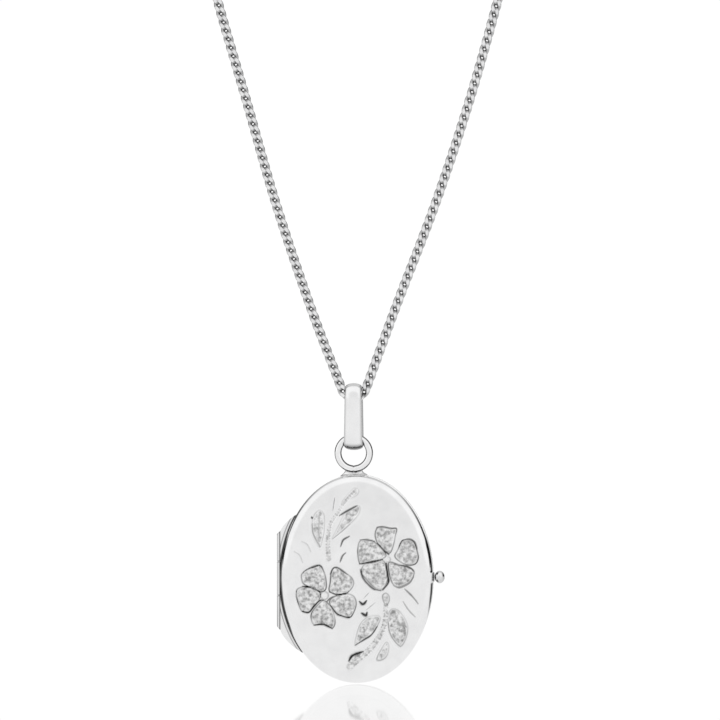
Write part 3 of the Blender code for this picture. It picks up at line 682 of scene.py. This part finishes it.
def cover_shape(side, grid, engraving=None):
    """A domed half. Its face is a square grid drawn onto the oval, and rows of its edge make the rest."""
    steps = np.linspace(-1, 1, grid)
    u, v = np.meshgrid(steps, steps)
    a = u * np.sqrt(1 - v * v / 2)
    b = v * np.sqrt(1 - u * u / 2)
    reach = np.hypot(a, b)
    safe = np.maximum(reach, 1e-9)
    out_x, out_z = a / safe, b / safe
    turn = SHOULDER_TURN * (1 - np.clip(reach, CROWN_SHARE, 1)) / (1 - CROWN_SHARE)
    inset = SHOULDER_INSET * (1 - np.cos(turn))
    share = np.clip(reach / CROWN_SHARE, 0, 1)
    x = (HALF_WIDTH - inset) * out_x * share
    z = (HALF_HEIGHT - inset) * out_z * share
    depth = RIM_HEIGHT + SHOULDER_RISE * np.sin(turn) + CROWN_RISE * (1 - share**2)
    marks = {"cut": np.zeros(x.shape), "stipple": np.zeros(x.shape)}
    if engraving:
        relief, marks["cut"], marks["stipple"] = engraving(x, z)
        # Painted shade along the hinge and split edges joins the engraved lines' tarnish in the dark mark,
        # and sinks a shallow groove
        gap_shade = edge_gap_shade(x, z)
        marks["cut"] = np.maximum(marks["cut"], gap_shade)
        depth = depth + relief - GAP_DEPTH * gap_shade
    points = [np.stack([x, side * depth, z], -1).reshape(-1, 3)]
    cuts = [marks["cut"].ravel()]
    index = np.arange(grid * grid).reshape(grid, grid)
    quads = np.stack([index[:-1, :-1], index[:-1, 1:], index[1:, 1:], index[1:, :-1]], -1)
    faces = quads.reshape(-1, 4).tolist()

    border = np.concatenate([index[0, :-1], index[:-1, -1], index[-1, :0:-1], index[:0:-1, 0]])
    edge_x, edge_z = out_x.ravel()[border], out_z.ravel()[border]
    low = SPLIT_GAP / 2
    # Edge rows: inset, depth, painted shade, share. The rounded rim where the two halves meet is painted dark
    # as shade in the split
    rows = [(0.0, low + RIM_ROUND + 0.05, 0.0, 1), (0.0, low + RIM_ROUND, 0.6, 1),
            (RIM_ROUND * 0.3, low + RIM_ROUND * 0.3, 1.0, 1), (RIM_ROUND, low, 1.0, 1),
            (WALL, low, 0.3, 1), (WALL, RIM_HEIGHT, 0.0, 1)]
    for turn in np.linspace(0, SHOULDER_TURN, 6)[1:]:
        rows.append(((SHOULDER_INSET - WALL) * (1 - math.cos(turn)) + WALL,
                     RIM_HEIGHT + (SHOULDER_RISE - WALL) * math.sin(turn), 0.0, 1))
    last_inset, last_depth = rows[-1][:2]
    for share in CROWN_SHARES:
        rows.append((last_inset, last_depth + CROWN_RISE * (1 - share**2), 0.0, share))
    previous = border
    for inset, depth, dark, share in rows:
        row_x = (HALF_WIDTH - inset) * edge_x * share
        row_z = (HALF_HEIGHT - inset) * edge_z * share
        row_depth = np.where(row_x < NOTCH_X, max(depth, NOTCH_DEPTH), depth)
        start = sum(len(p) for p in points)
        points.append(np.stack([row_x, side * row_depth, row_z], -1))
        cuts.append(np.full(len(border), dark))
        row = np.arange(start, start + len(border))
        quads = np.stack([previous, np.roll(previous, -1), np.roll(row, -1), row], -1)
        faces += quads.tolist()
        previous = row
    faces.append(previous.tolist())
    marks["cut"] = np.concatenate(cuts)
    marks["stipple"] = np.concatenate([marks["stipple"].ravel(), np.zeros(len(marks["cut"]) - grid * grid)])
    return (np.concatenate(points), faces), marks


def make_covers(front_metal, back_metal):
    shape, marks = cover_shape(-1, COVER_GRID, engrave)
    add_piece("engraved_front", shape, front_metal, "locket_front", ["front_cover"],
              marks=marks, sharp=60)
    shape, marks = cover_shape(1, COVER_GRID // 3)
    add_piece("plain_back", shape, back_metal, "locket_back", ["back_cover"],
              marks=marks, sharp=60)


# === Chain


def catmull_rom(points, spacing):
    """Points along a smooth curve through the given ones, closer together where those are close."""
    ends = [points[0] * 2 - points[1]] + points + [points[-1] * 2 - points[-2]]
    line = []
    for near in zip(ends, ends[1:], ends[2:], ends[3:]):
        count = max(2, round((near[2] - near[1]).length / spacing))
        line += [spline(*near, i / count) for i in range(count)]
    line.append(points[-1])
    return line


def link_shape(around=26, sides=14):
    """One twisted curb link about its centre, and the painted shade at each of its points. Its faces are
    flattened.
    """
    turn = full_turn(around)
    wind = full_turn(sides)
    along = LINK_HALF_LENGTH * np.cos(turn)
    across = LINK_HALF_WIDTH * np.sin(turn)
    twist = LINK_TWIST * along / LINK_HALF_LENGTH
    middle = np.stack([along, across * np.cos(twist), across * np.sin(twist)], -1)
    tangent = np.roll(middle, -1, 0) - np.roll(middle, 1, 0)
    tangent /= np.linalg.norm(tangent, axis=1)[:, None]
    outward = np.stack([np.cos(turn) * LINK_HALF_WIDTH, np.sin(turn) * LINK_HALF_LENGTH * np.cos(twist),
                        np.sin(turn) * LINK_HALF_LENGTH * np.sin(twist)], -1)
    outward -= tangent * np.sum(outward * tangent, axis=1)[:, None]
    outward /= np.linalg.norm(outward, axis=1)[:, None]
    upward = np.cross(tangent, outward)
    section = np.cos(wind)[None, :, None] * outward[:, None] + np.sin(wind)[None, :, None] * upward[:, None]
    link = middle[:, None] + LINK_WIRE * section
    flat = np.abs(link[..., 2]) > LINK_FLAT
    link[..., 2] = np.clip(link[..., 2], -LINK_FLAT, LINK_FLAT)
    inward = np.clip(-np.cos(wind), 0, 1)[None, :].repeat(around, 0)
    # Painted shade: the rounded sides darker than the flat faces and darkest on the inner side, and the link
    # ends, where links overlap, painted dark
    dark = np.where(flat, 0.0, LINK_SHADE + (1 - LINK_SHADE) * rise(inward, 0.0, 0.5))
    dark = np.maximum(dark, LINK_END_SHADE * rise(np.abs(np.cos(turn)), *LINK_END)[:, None])
    return link, dark.ravel()


def make_chain(metal):
    """Curb links, one every pitch along the route."""
    line = np.array(catmull_rom([Vector((x, 0, z)) for x, z in CHAIN_ROUTE], CHAIN_POINT_SPACING))
    gone = np.concatenate([[0], np.cumsum(np.linalg.norm(np.diff(line, axis=0), axis=1))])
    count = round(gone[-1] / LINK_PITCH)
    pitch = gone[-1] / count
    link, dark = link_shape()
    link_points, link_faces = loft(link, ring=True)

    def place_at(distance):
        return np.array([np.interp(distance, gone, line[:, k]) for k in range(3)])

    points, faces = [], []
    for i in range(count):
        middle = pitch * (i + 0.5)
        reach = place_at(middle + pitch / 2) - place_at(middle - pitch / 2)
        forward = reach / np.linalg.norm(reach)
        sideways = np.array([forward[2], 0, -forward[0]])
        points.append(place_at(middle) + link_points @ np.stack([forward, sideways, -Y]))
        faces += (np.array(link_faces) + i * len(link_points)).tolist()
    chain = add_piece("curb_chain", (np.concatenate(points), faces), metal, "chain", ["chain"],
                      HANG_AT, {"cut": np.tile(dark, count)}, sharp=40)


# === Hanging pieces


def ring_shape(centre, across, up, radius, wire, around=120, sides=24, seam=None):
    """A wire ring. A seam is the angle where its ends were soldered, a shallow nick round the wire."""
    normal = np.cross(across, up)
    rows = []
    for turn in full_turn(around):
        out = spoke(turn, across, up)
        thin = 0.0
        if seam is not None:
            thin = SEAM_DEPTH * bell((turn - seam) / SEAM_REACH)
        rows.append(circle(np.asarray(centre) + radius * out, out, normal, wire * (1 - thin), sides))
    return loft(rows, ring=True)


def make_bail(metal):
    """A D-section band looped front to back, a little narrower at the top."""
    radius = BAIL_OUTER_RADIUS - BAIL_THICKNESS / 2
    top = BAIL_TOP_Z - BAIL_OUTER_RADIUS
    bottom = BAIL_BOTTOM_Z + BAIL_OUTER_RADIUS
    stations = []
    for start, end, first in ((top, bottom, 0.0), (bottom, top, math.pi)):
        stations += [(start, first + turn) for turn in np.linspace(0, math.pi, 25)]
        stations += [(z, math.pi - first) for z in np.linspace(start, end, 10)[1:-1]]
    side = [(math.sin(t), 0.5 - BAIL_CURVE * (1 - math.cos(t))) for t in np.linspace(0, math.pi / 2, 12)]
    side += BAIL_INSIDE
    section = side + [(0.0, -0.5)] + [(-a, b) for a, b in reversed(side[1:])]

    # Painted shade on the inner face and under the bottom curl, and painted darker edges that stand in for
    # reflections
    def edge_line(a):
        return BAIL_EDGE_DARK * rise(abs(a), *BAIL_EDGE)

    rows, cuts = [], []
    for centre_z, turn in stations:
        out = spoke(turn, Y, Z)
        middle = np.array([HANG_X, HANG_Y, centre_z]) + radius * out
        share = (middle[2] - BAIL_BOTTOM_Z) / (BAIL_TOP_Z - BAIL_BOTTOM_Z)
        half = (BAIL_WIDTH + (BAIL_TOP_WIDTH - BAIL_WIDTH) * share) / 2
        rows.append([middle + half * a * X + BAIL_THICKNESS * b * out for a, b in section])
        under = rise(turn, *BAIL_UNDER[0]) * rise(turn, *BAIL_UNDER[1]) if centre_z == bottom else 0.0
        cuts.append([BAIL_INSIDE_DARK if b < BAIL_INSIDE_FROM else max(BAIL_UNDER_DARK * under, edge_line(a))
                     for a, b in section])
    add_piece("band_bail", loft(rows, ring=True), metal, "bail", ["bail"],
              marks={"cut": np.ravel(cuts)}, sharp=30)


def make_top_ring(metal):
    around, sides = 120, 48
    shape = ring_shape((HANG_X, HANG_Y, RING_Z), X, Z, RING_RADIUS, RING_WIRE, around, sides, RING_SEAM)
    turns = full_turn(around)[:, None]
    winds = full_turn(sides)[None, :]
    # Painted dark reflection lines along the ring's inner and outer sides; the seam's nick is darkened too
    line = RING_LINE_DARK * rise(np.abs(np.cos(winds)), *RING_LINE)
    nick = RING_NICK_DARK * bell((turns - RING_SEAM) / RING_NICK_REACH) * rise(-np.cos(winds), 0.2, 0.8)
    add_piece("wire_ring", shape, metal, "locket_back", ["top_ring"],
              marks={"cut": np.maximum(line, nick).ravel()})


def make_ring_foot(metal):
    """A flared saddle between the back's rim and the ring."""
    reach = RING_RADIUS + RING_WIRE + SEAT_GAP
    centre_y = SPLIT_GAP / 2 + FOOT_HALF_DEPTH
    turns = full_turn(FOOT_SIDES)

    def row(half_width, half_depth, lift):
        x = half_width * np.cos(turns)
        tall = (HALF_HEIGHT + FOOT_GAP) * np.sqrt(1 - ((HANG_X + x) / (HALF_WIDTH + FOOT_GAP)) ** 2)
        cradle = RING_Z - np.sqrt(reach**2 - np.minimum(np.abs(x), FOOT_TOP_HALF_WIDTH) ** 2)
        y = centre_y + half_depth * np.sin(turns)
        return np.stack([HANG_X + x, y, tall + lift * (cradle - tall)], -1)

    rows = [row(FOOT_HALF_WIDTH / 2, FOOT_HALF_DEPTH / 2, 0), row(FOOT_HALF_WIDTH - 0.03, FOOT_HALF_DEPTH, 0)]
    for lift in np.linspace(0, 1, 9):
        flare = (1 - lift) ** 2
        half_width = FOOT_TOP_HALF_WIDTH + (FOOT_HALF_WIDTH - FOOT_TOP_HALF_WIDTH) * flare
        rows.append(row(half_width, FOOT_HALF_DEPTH + (RING_WIRE - FOOT_HALF_DEPTH) * lift, lift))
    rows.append(row(FOOT_TOP_HALF_WIDTH / 2, RING_WIRE / 2, 1))
    # Each row of the saddle gets its painted shade
    add_piece("ring_saddle", loft(rows), metal, "locket_back", ["ring_foot"],
              marks={"cut": np.repeat(FOOT_DARK, FOOT_SIDES)})


# === Hinge and catch


def knuckle_shape(low, high, low_slant, high_slant):
    """A length of hinge tube with eased ends. A slant moves an end on its outer side, to follow the oval."""
    ease = KNUCKLE_EASE
    rows = []
    for radius, z, slant in (
        (BORE_RADIUS, low, low_slant), (BARREL_RADIUS - ease, low, low_slant),
        (BARREL_RADIUS, low + ease, low_slant), (BARREL_RADIUS, low + 3 * ease, low_slant),
        (BARREL_RADIUS, high - 3 * ease, high_slant), (BARREL_RADIUS, high - ease, high_slant),
        (BARREL_RADIUS - ease, high, high_slant), (BORE_RADIUS, high, high_slant),
    ):
        row = circle((HINGE_X, 0, z), X, Y, radius, KNUCKLE_SIDES)
        row[:, 2] += slant * (row[:, 0] - HINGE_X)
        rows.append(row)
    return loft(rows, ring=True)


def make_hinge(metal):
    half = KNUCKLE_GAP / 2
    ends = np.repeat(KNUCKLE_DARK, KNUCKLE_SIDES)
    for name, low, high, low_slant, high_slant, body, node in (
        ("knuckle_top", UPPER_SPLIT + half, BARREL_TOP, 0, END_SLANT, "locket_back", "upper_knuckle"),
        ("knuckle_middle", LOWER_SPLIT + half, UPPER_SPLIT - half, 0, 0, "locket_front", "middle_knuckle"),
        ("knuckle_bottom", BARREL_BOTTOM, LOWER_SPLIT - half, -END_SLANT, 0, "locket_back", "lower_knuckle"),
    ):
        shape = knuckle_shape(low, high, low_slant, high_slant)
        x = shape[0][:, 0]
        # Painted shade beside the cover, and painted dark reflection lines down the tube and along its outer
        # edge
        lines = rise(x, *BARREL_INNER_DARK) + 0.8 * bell((x - BARREL_LINE_X) / 0.04)
        lines = np.maximum(lines, 0.6 * rise(x, *BARREL_OUTER_DARK))
        add_piece(name, shape, metal, body, [node],
                  marks={"cut": np.maximum(ends, np.clip(lines, 0, 1))})


def bearer_shape(side):
    """The strip that carries the knuckles, as sections along the oval, hollowed where the barrel lies."""
    rows, cuts = [], []
    for z in np.linspace(BEARER_BOTTOM_TIP, BEARER_TOP_TIP, 110):
        beside_oval = -(HALF_WIDTH + SEAT_GAP) * math.sqrt(1 - (z / (HALF_HEIGHT + SEAT_GAP)) ** 2)
        inner = max(BEARER_INNER_X, beside_oval)
        top = np.clip((BEARER_TOP_TIP - z) / (BEARER_TOP_TIP - BARREL_TOP), 0, 1)
        bottom = np.clip((z - BEARER_BOTTOM_TIP) / (BARREL_BOTTOM - BEARER_BOTTOM_TIP), 0, 1)
        tip = inner - BEARER_TIP_WIDTH
        outer = tip + (BEARER_OUTER_X - tip) * min(top, bottom)
        slant = END_SLANT * BARREL_RADIUS
        in_barrel = BARREL_BOTTOM - slant < z < BARREL_TOP + slant
        low = SPLIT_GAP / 2
        section = [(x, BEARER_HEIGHT) for x in np.linspace(inner, outer, 14)]
        for depth in np.linspace(BEARER_HEIGHT - 0.08, low, 12):
            reach = math.sqrt(max(0.0, CHANNEL_RADIUS**2 - depth**2)) if in_barrel else 0.0
            section.append((min(max(outer, HINGE_X + reach), inner - 0.02), depth))
        section.append((inner, low))
        rows.append([(x, side * y, z) for x, y in section])
        # Painted shade on the strip where it lies under the cover's rim, with a painted dark line just beyond
        # it
        rim_x = -HALF_WIDTH * math.sqrt(1 - (z / HALF_HEIGHT) ** 2)
        beyond = rim_x - np.array(section)[:, 0]
        dark = rise(beyond, 0.3, 0.1) + 0.8 * bell((beyond - BEARER_LINE) / 0.06)
        cuts.append(np.where(beyond < -0.1, 0.0, np.clip(dark, 0, 1)))
    return loft(rows), np.ravel(cuts)


def make_bearers(metal):
    for side, which, body in ((1, "back", "locket_back"), (-1, "front", "locket_front")):
        shape, cuts = bearer_shape(side)
        add_piece(which + "_bearer_strip", shape, metal, body, [which + "_hinge_bearer"],
                  marks={"cut": cuts})


def oval_rows(stations, count=200):
    turns = full_turn(count)
    return [np.stack([(HALF_WIDTH - inset) * np.cos(turns), np.full(count, y),
                      (HALF_HEIGHT - inset) * np.sin(turns)], -1) for inset, y in stations]


def make_photo_fittings(which, side, body, metal, clear, card):
    near, far = FRAME_DEPTHS
    inside = FRAME_INSET + FRAME_WIDTH
    ease = 0.08
    stations = [(FRAME_INSET, near + ease), (FRAME_INSET, far), (inside, far), (inside, near + 2 * ease),
                (inside - ease, near + ease / 2), (inside - 2 * ease, near),
                (FRAME_INSET + 2 * ease, near), (FRAME_INSET + ease, near + ease / 3)]
    rows = oval_rows([(inset, side * y) for inset, y in stations])
    add_piece(which + "_snap_frame", loft(rows, ring=True), metal, body, [which + "_photo_frame"])
    for name, depths, material, node, slot in (
        ("_acetate", WINDOW_DEPTHS, clear, "_window", "clear_window"),
        ("_blank_card", CARD_DEPTHS, card, "_photo_card", "photo_card"),
    ):
        rows = oval_rows([(PLATE_INSET, side * y) for y in depths])
        add_piece(which + name, loft(rows), material, body, [which + node])


def make_catch_lip(metal):
    """The strip that snaps into the front half, with an eased top."""
    inside = LIP_INSET + LIP_THICKNESS
    section = [(LIP_INSET, LIP_DEEP), (LIP_INSET, -LIP_PROUD + LIP_EASE[1]),
               (LIP_INSET + LIP_EASE[0], -LIP_PROUD), (inside - LIP_EASE[0], -LIP_PROUD),
               (inside, -LIP_PROUD + LIP_EASE[1]), (inside, LIP_DEEP)]
    rows = []
    for turn in np.linspace(-LIP_REACH, LIP_REACH, LIP_STEPS):
        across, up = math.cos(turn), math.sin(turn)
        rows.append([[(HALF_WIDTH - inset) * across, y, (HALF_HEIGHT - inset) * up] for inset, y in section])
    add_piece("snap_lip", loft(rows), metal, "locket_back", ["catch_lip"])


def make_thumb_piece(metal):
    thick, half_deep, half_tall = THUMB_PLATE
    turns = full_turn(THUMB_SIDES)

    def disc(x, scale):
        return np.stack([np.full(THUMB_SIDES, x), THUMB_Y + scale * half_deep * np.cos(turns),
                         THUMB_Z + scale * half_tall * np.sin(turns)], -1)

    rows = [disc(THUMB_X, 0.9), disc(THUMB_X + 0.03, 1.0), disc(THUMB_X + thick - 0.03, 1.0),
            disc(THUMB_X + thick, 0.85)]
    add_piece("thumb_washer", loft(rows), metal, "locket_front", ["thumb_plate"],
              marks={"cut": np.repeat(THUMB_DARK, THUMB_SIDES)})
    half_wide, ball_deep, ball_tall = BALL
    rows, cuts = [], []
    for turn in np.linspace(0, math.pi, 26)[1:-1]:
        x = BALL_X - half_wide * math.cos(turn)
        ring = circle((x, THUMB_Y, THUMB_Z), Y, Z, 1.0, 40)
        ring[:, 1] = THUMB_Y + (ring[:, 1] - THUMB_Y) * ball_deep * math.sin(turn)
        ring[:, 2] = THUMB_Z + (ring[:, 2] - THUMB_Z) * ball_tall * math.sin(turn)
        rows.append(ring)
        # Painted shade: dark at the neck beside the washer, darker towards the bottom and on the far side
        low = (THUMB_Z - ring[:, 2]) / ball_tall
        shade = BALL_SHADE * (1 + low) / 2 + BALL_SHADE * rise(turn, 1.9, 2.9)
        cuts.append(np.clip(1 - rise(turn, 0.35, 0.8) + shade, 0, 1))
    add_piece("thumb_bead", loft(rows), metal, "locket_front", ["thumb_ball"],
              marks={"cut": np.concatenate(cuts)})


# === Clasp


def arc_rows(radius, wire, first, last, steps, sides):
    rows = []
    for turn in np.radians(np.linspace(first, last, steps + 1)):
        out = spoke(turn)
        rows.append(circle(radius * out, out, Y, wire, sides))
    return rows


def apply_boolean(piece, cutter, operation):
    modifier = piece.modifiers.new(cutter.name, "BOOLEAN")
    modifier.operation = operation
    modifier.solver = "EXACT"
    modifier.object = cutter
    seen = bpy.context.evaluated_depsgraph_get()
    made = bpy.data.meshes.new_from_object(piece.evaluated_get(seen))
    piece.modifiers.clear()
    piece.data = made
    made.shade_smooth()
    made.set_sharp_from_angle(angle=math.radians(35))
    bpy.data.objects.remove(cutter)


def make_clasp(metal, steel):
    """A bolt ring: a C of tube with a slot and an eye, the bolt and trigger, its spring and two rings."""
    first, last = CLASP_MOUTH[1], CLASP_MOUTH[0] + 360
    outside = arc_rows(CLASP_RADIUS, CLASP_TUBE, first, last, 70, 24)
    bore = arc_rows(CLASP_RADIUS, CLASP_BORE, last, first, 70, 24)
    body = add_piece("bolt_ring", loft(outside + bore, ring=True), metal, "chain", ["clasp_ring"],
                     HANG_AT)
    rows = []
    for turn in np.radians(np.linspace(*SLOT_ARC, 24)):
        out = spoke(turn)
        rows.append([r * out + y * Y for r, y in (
            (CLASP_RADIUS + CLASP_BORE / 2, -SLOT_HALF), (CLASP_RADIUS + CLASP_TUBE * 1.5, -SLOT_HALF),
            (CLASP_RADIUS + CLASP_TUBE * 1.5, SLOT_HALF), (CLASP_RADIUS + CLASP_BORE / 2, SLOT_HALF))])
    apply_boolean(body, add_piece("slot_cutter", loft(rows), metal, "chain", at=HANG_AT), "DIFFERENCE")
    eye = ring_shape((EYE_X, 0, 0), X, Z, EYE_RADIUS, EYE_WIRE, 60, 20)
    apply_boolean(body, add_piece("eye_adder", eye, metal, "chain", at=HANG_AT), "UNION")

    tongue = add_piece("bolt", loft(arc_rows(CLASP_RADIUS, TONGUE_RADIUS, *TONGUE_ARC, 40, 24)), metal,
                       "clasp_tongue", ["clasp_tongue"], HANG_AT)
    turn = math.radians(TRIGGER_ANGLE)
    out = spoke(turn)
    along = np.cross(out, Y)
    rows = [circle(r * out, Y, along, wide, 24) for r, wide in (
        (CLASP_RADIUS, TRIGGER_RADIUS), (CLASP_RADIUS + TRIGGER_HEIGHT - 0.08, TRIGGER_RADIUS),
        (CLASP_RADIUS + TRIGGER_HEIGHT - 0.02, TRIGGER_RADIUS * 0.8),
        (CLASP_RADIUS + TRIGGER_HEIGHT, TRIGGER_RADIUS * 0.5))]
    apply_boolean(tongue, add_piece("trigger_adder", loft(rows), metal, "clasp_tongue", at=HANG_AT), "UNION")

    rows = []
    steps = SPRING_TURNS * 20
    for share in np.arange(steps + 1) / steps:
        turn = math.radians(SPRING_ARC[0] + (SPRING_ARC[1] - SPRING_ARC[0]) * share)
        wind = 2 * math.pi * SPRING_TURNS * share
        out = spoke(turn)
        along = spoke(turn, Z, -X)
        radial = spoke(wind, out, Y)
        rows.append(circle(CLASP_RADIUS * out + SPRING_RADIUS * radial, radial, along, SPRING_WIRE, 10))
    coil = add_piece("coil_spring", loft(rows), steel, None, ["clasp_spring"], HANG_AT)
    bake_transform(coil)
    links = []
    for name, node, x, radius, wire in (
        ("jump_ring", "clasp_jump_ring", JUMP_X, JUMP_RADIUS, JUMP_WIRE),
        ("end_ring", "chain_end_ring", END_X, END_RADIUS, END_WIRE),
    ):
        shape = ring_shape((x, 0, 0), X, Y, radius, wire, 72, 20, math.pi / 2)
        links.append(add_piece(name, shape, metal, "chain", [node], HANG_AT))
    return [body, tongue, *links]


# === Stage, light and camera


def make_floor():
    """A pale, even floor, with a gloss near the locket that gives a short soft reflection."""
    half = FLOOR_HALF
    mesh = bpy.data.meshes.new("floor")
    corners = [(-half, -half), (half, -half), (half, half), (-half, half)]
    mesh.from_pydata([(x, y, FLOOR_Z * MM) for x, y in corners], [], [(0, 1, 2, 3)])
    material = bpy.data.materials.new("pale_floor")
    material.use_nodes = True
    tree = material.node_tree
    tree.nodes.remove(tree.nodes["Principled BSDF"])
    place = tree.nodes.new("ShaderNodeTexCoord").outputs["Object"]
    distance = add_node(tree, "ShaderNodeVectorMath", {"operation": "LENGTH"})
    tree.links.new(place, distance.inputs[0])
    near = spread(tree, distance.outputs["Value"], GLOSS_REACH, abs(FLOOR_Z) * MM, 0.0, GLOSS_SHARE)
    low = spread(tree, add_node(tree, "ShaderNodeLayerWeight").outputs["Facing"], *GLOSS_FACING)
    glossy = add_node(tree, "ShaderNodeLightPath").outputs["Is Glossy Ray"]
    shown = mix_colour(tree, glossy, grey(FLOOR_WHITE), grey(FLOOR_REFLECTED))
    pale = add_node(tree, "ShaderNodeEmission", Color=shown)
    gloss = add_node(tree, "ShaderNodeBsdfGlossy", Roughness=GLOSS_ROUGHNESS, Color=grey(1))
    both = add_node(tree, "ShaderNodeMixShader", Fac=calculate(tree, "MULTIPLY", near, low))
    tree.links.new(pale.outputs["Emission"], both.inputs[1])
    tree.links.new(gloss.outputs["BSDF"], both.inputs[2])
    tree.links.new(both.outputs["Shader"], tree.nodes["Material Output"].inputs["Surface"])
    mesh.materials.append(material)
    floor = bpy.data.objects.new("floor", mesh)
    bpy.context.scene.collection.objects.link(floor)


def make_world():
    """White all round, greyer behind the camera, with a dark band that draws the edges of polished metal."""
    world = bpy.data.worlds.new("studio")
    world.use_nodes = True
    tree = world.node_tree
    direction = tree.nodes.new("ShaderNodeTexCoord").outputs["Generated"]
    axes = add_node(tree, "ShaderNodeSeparateXYZ", Vector=direction)
    share = spread(tree, axes.outputs["Y"], -1.0, 1.0)
    level, above = (ramp(tree, share, *WORLD_FRONT, (0.48, side), (0.58, band), (0.9, band), (0.96, 1.02))
                    for side, band in WORLD_BANDS)
    seen = mix_colour(tree, spread(tree, axes.outputs["Z"], *WORLD_ABOVE), level, above)
    glossy = add_node(tree, "ShaderNodeLightPath").outputs["Is Glossy Ray"]
    shown = mix_colour(tree, glossy, grey(BACKDROP_WHITE), seen)
    tree.links.new(shown, tree.nodes["Background"].inputs["Color"])
    bpy.context.scene.world = world


def make_camera():
    camera = bpy.data.objects.new("camera", bpy.data.cameras.new("camera"))
    camera.data.lens = VIEW_LENS
    camera.data.sensor_width = VIEW_SENSOR
    camera.data.clip_start = 0.01
    camera.data.clip_end = 20
    back = Vector((math.sin(VIEW_YAW) * math.cos(VIEW_RISE), -math.cos(VIEW_YAW) * math.cos(VIEW_RISE),
                   math.sin(VIEW_RISE)))
    camera.location = VIEW_CENTRE + back * VIEW_DISTANCE
    camera.rotation_euler = (-back).to_track_quat("-Z", "Y").to_euler()
    bpy.context.scene.collection.objects.link(camera)
    bpy.context.scene.camera = camera
    bpy.context.scene.view_settings.view_transform = "Standard"


def build():
    make_camera()
    make_floor()
    make_world()
    silver = make_metal("polished_silver_fine", *SILVER, 0.09, 0.004)
    engraved = make_metal("engraved_silver", *SILVER, 0.1, 0.004, engraved=True)
    links = make_metal("link_silver", *LINK_SILVER, 0.14, 0.004)
    steel = make_metal("spring_steel_fine", *STEEL, 0.25, 0.006)
    clear = make_window_material()
    card = make_card_material()

    clasp = make_clasp(silver, steel)
    make_chain(links)
    make_bail(silver)
    make_top_ring(silver)
    make_ring_foot(silver)
    make_covers(engraved, silver)
    make_hinge(silver)
    make_bearers(silver)
    make_catch_lip(silver)
    make_thumb_piece(silver)
    make_photo_fittings("back", 1, "locket_back", silver, clear, card)
    make_photo_fittings("front", -1, "locket_front", silver, clear, card)
    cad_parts["hinge_pin"].material_slots[0].material = steel


build()
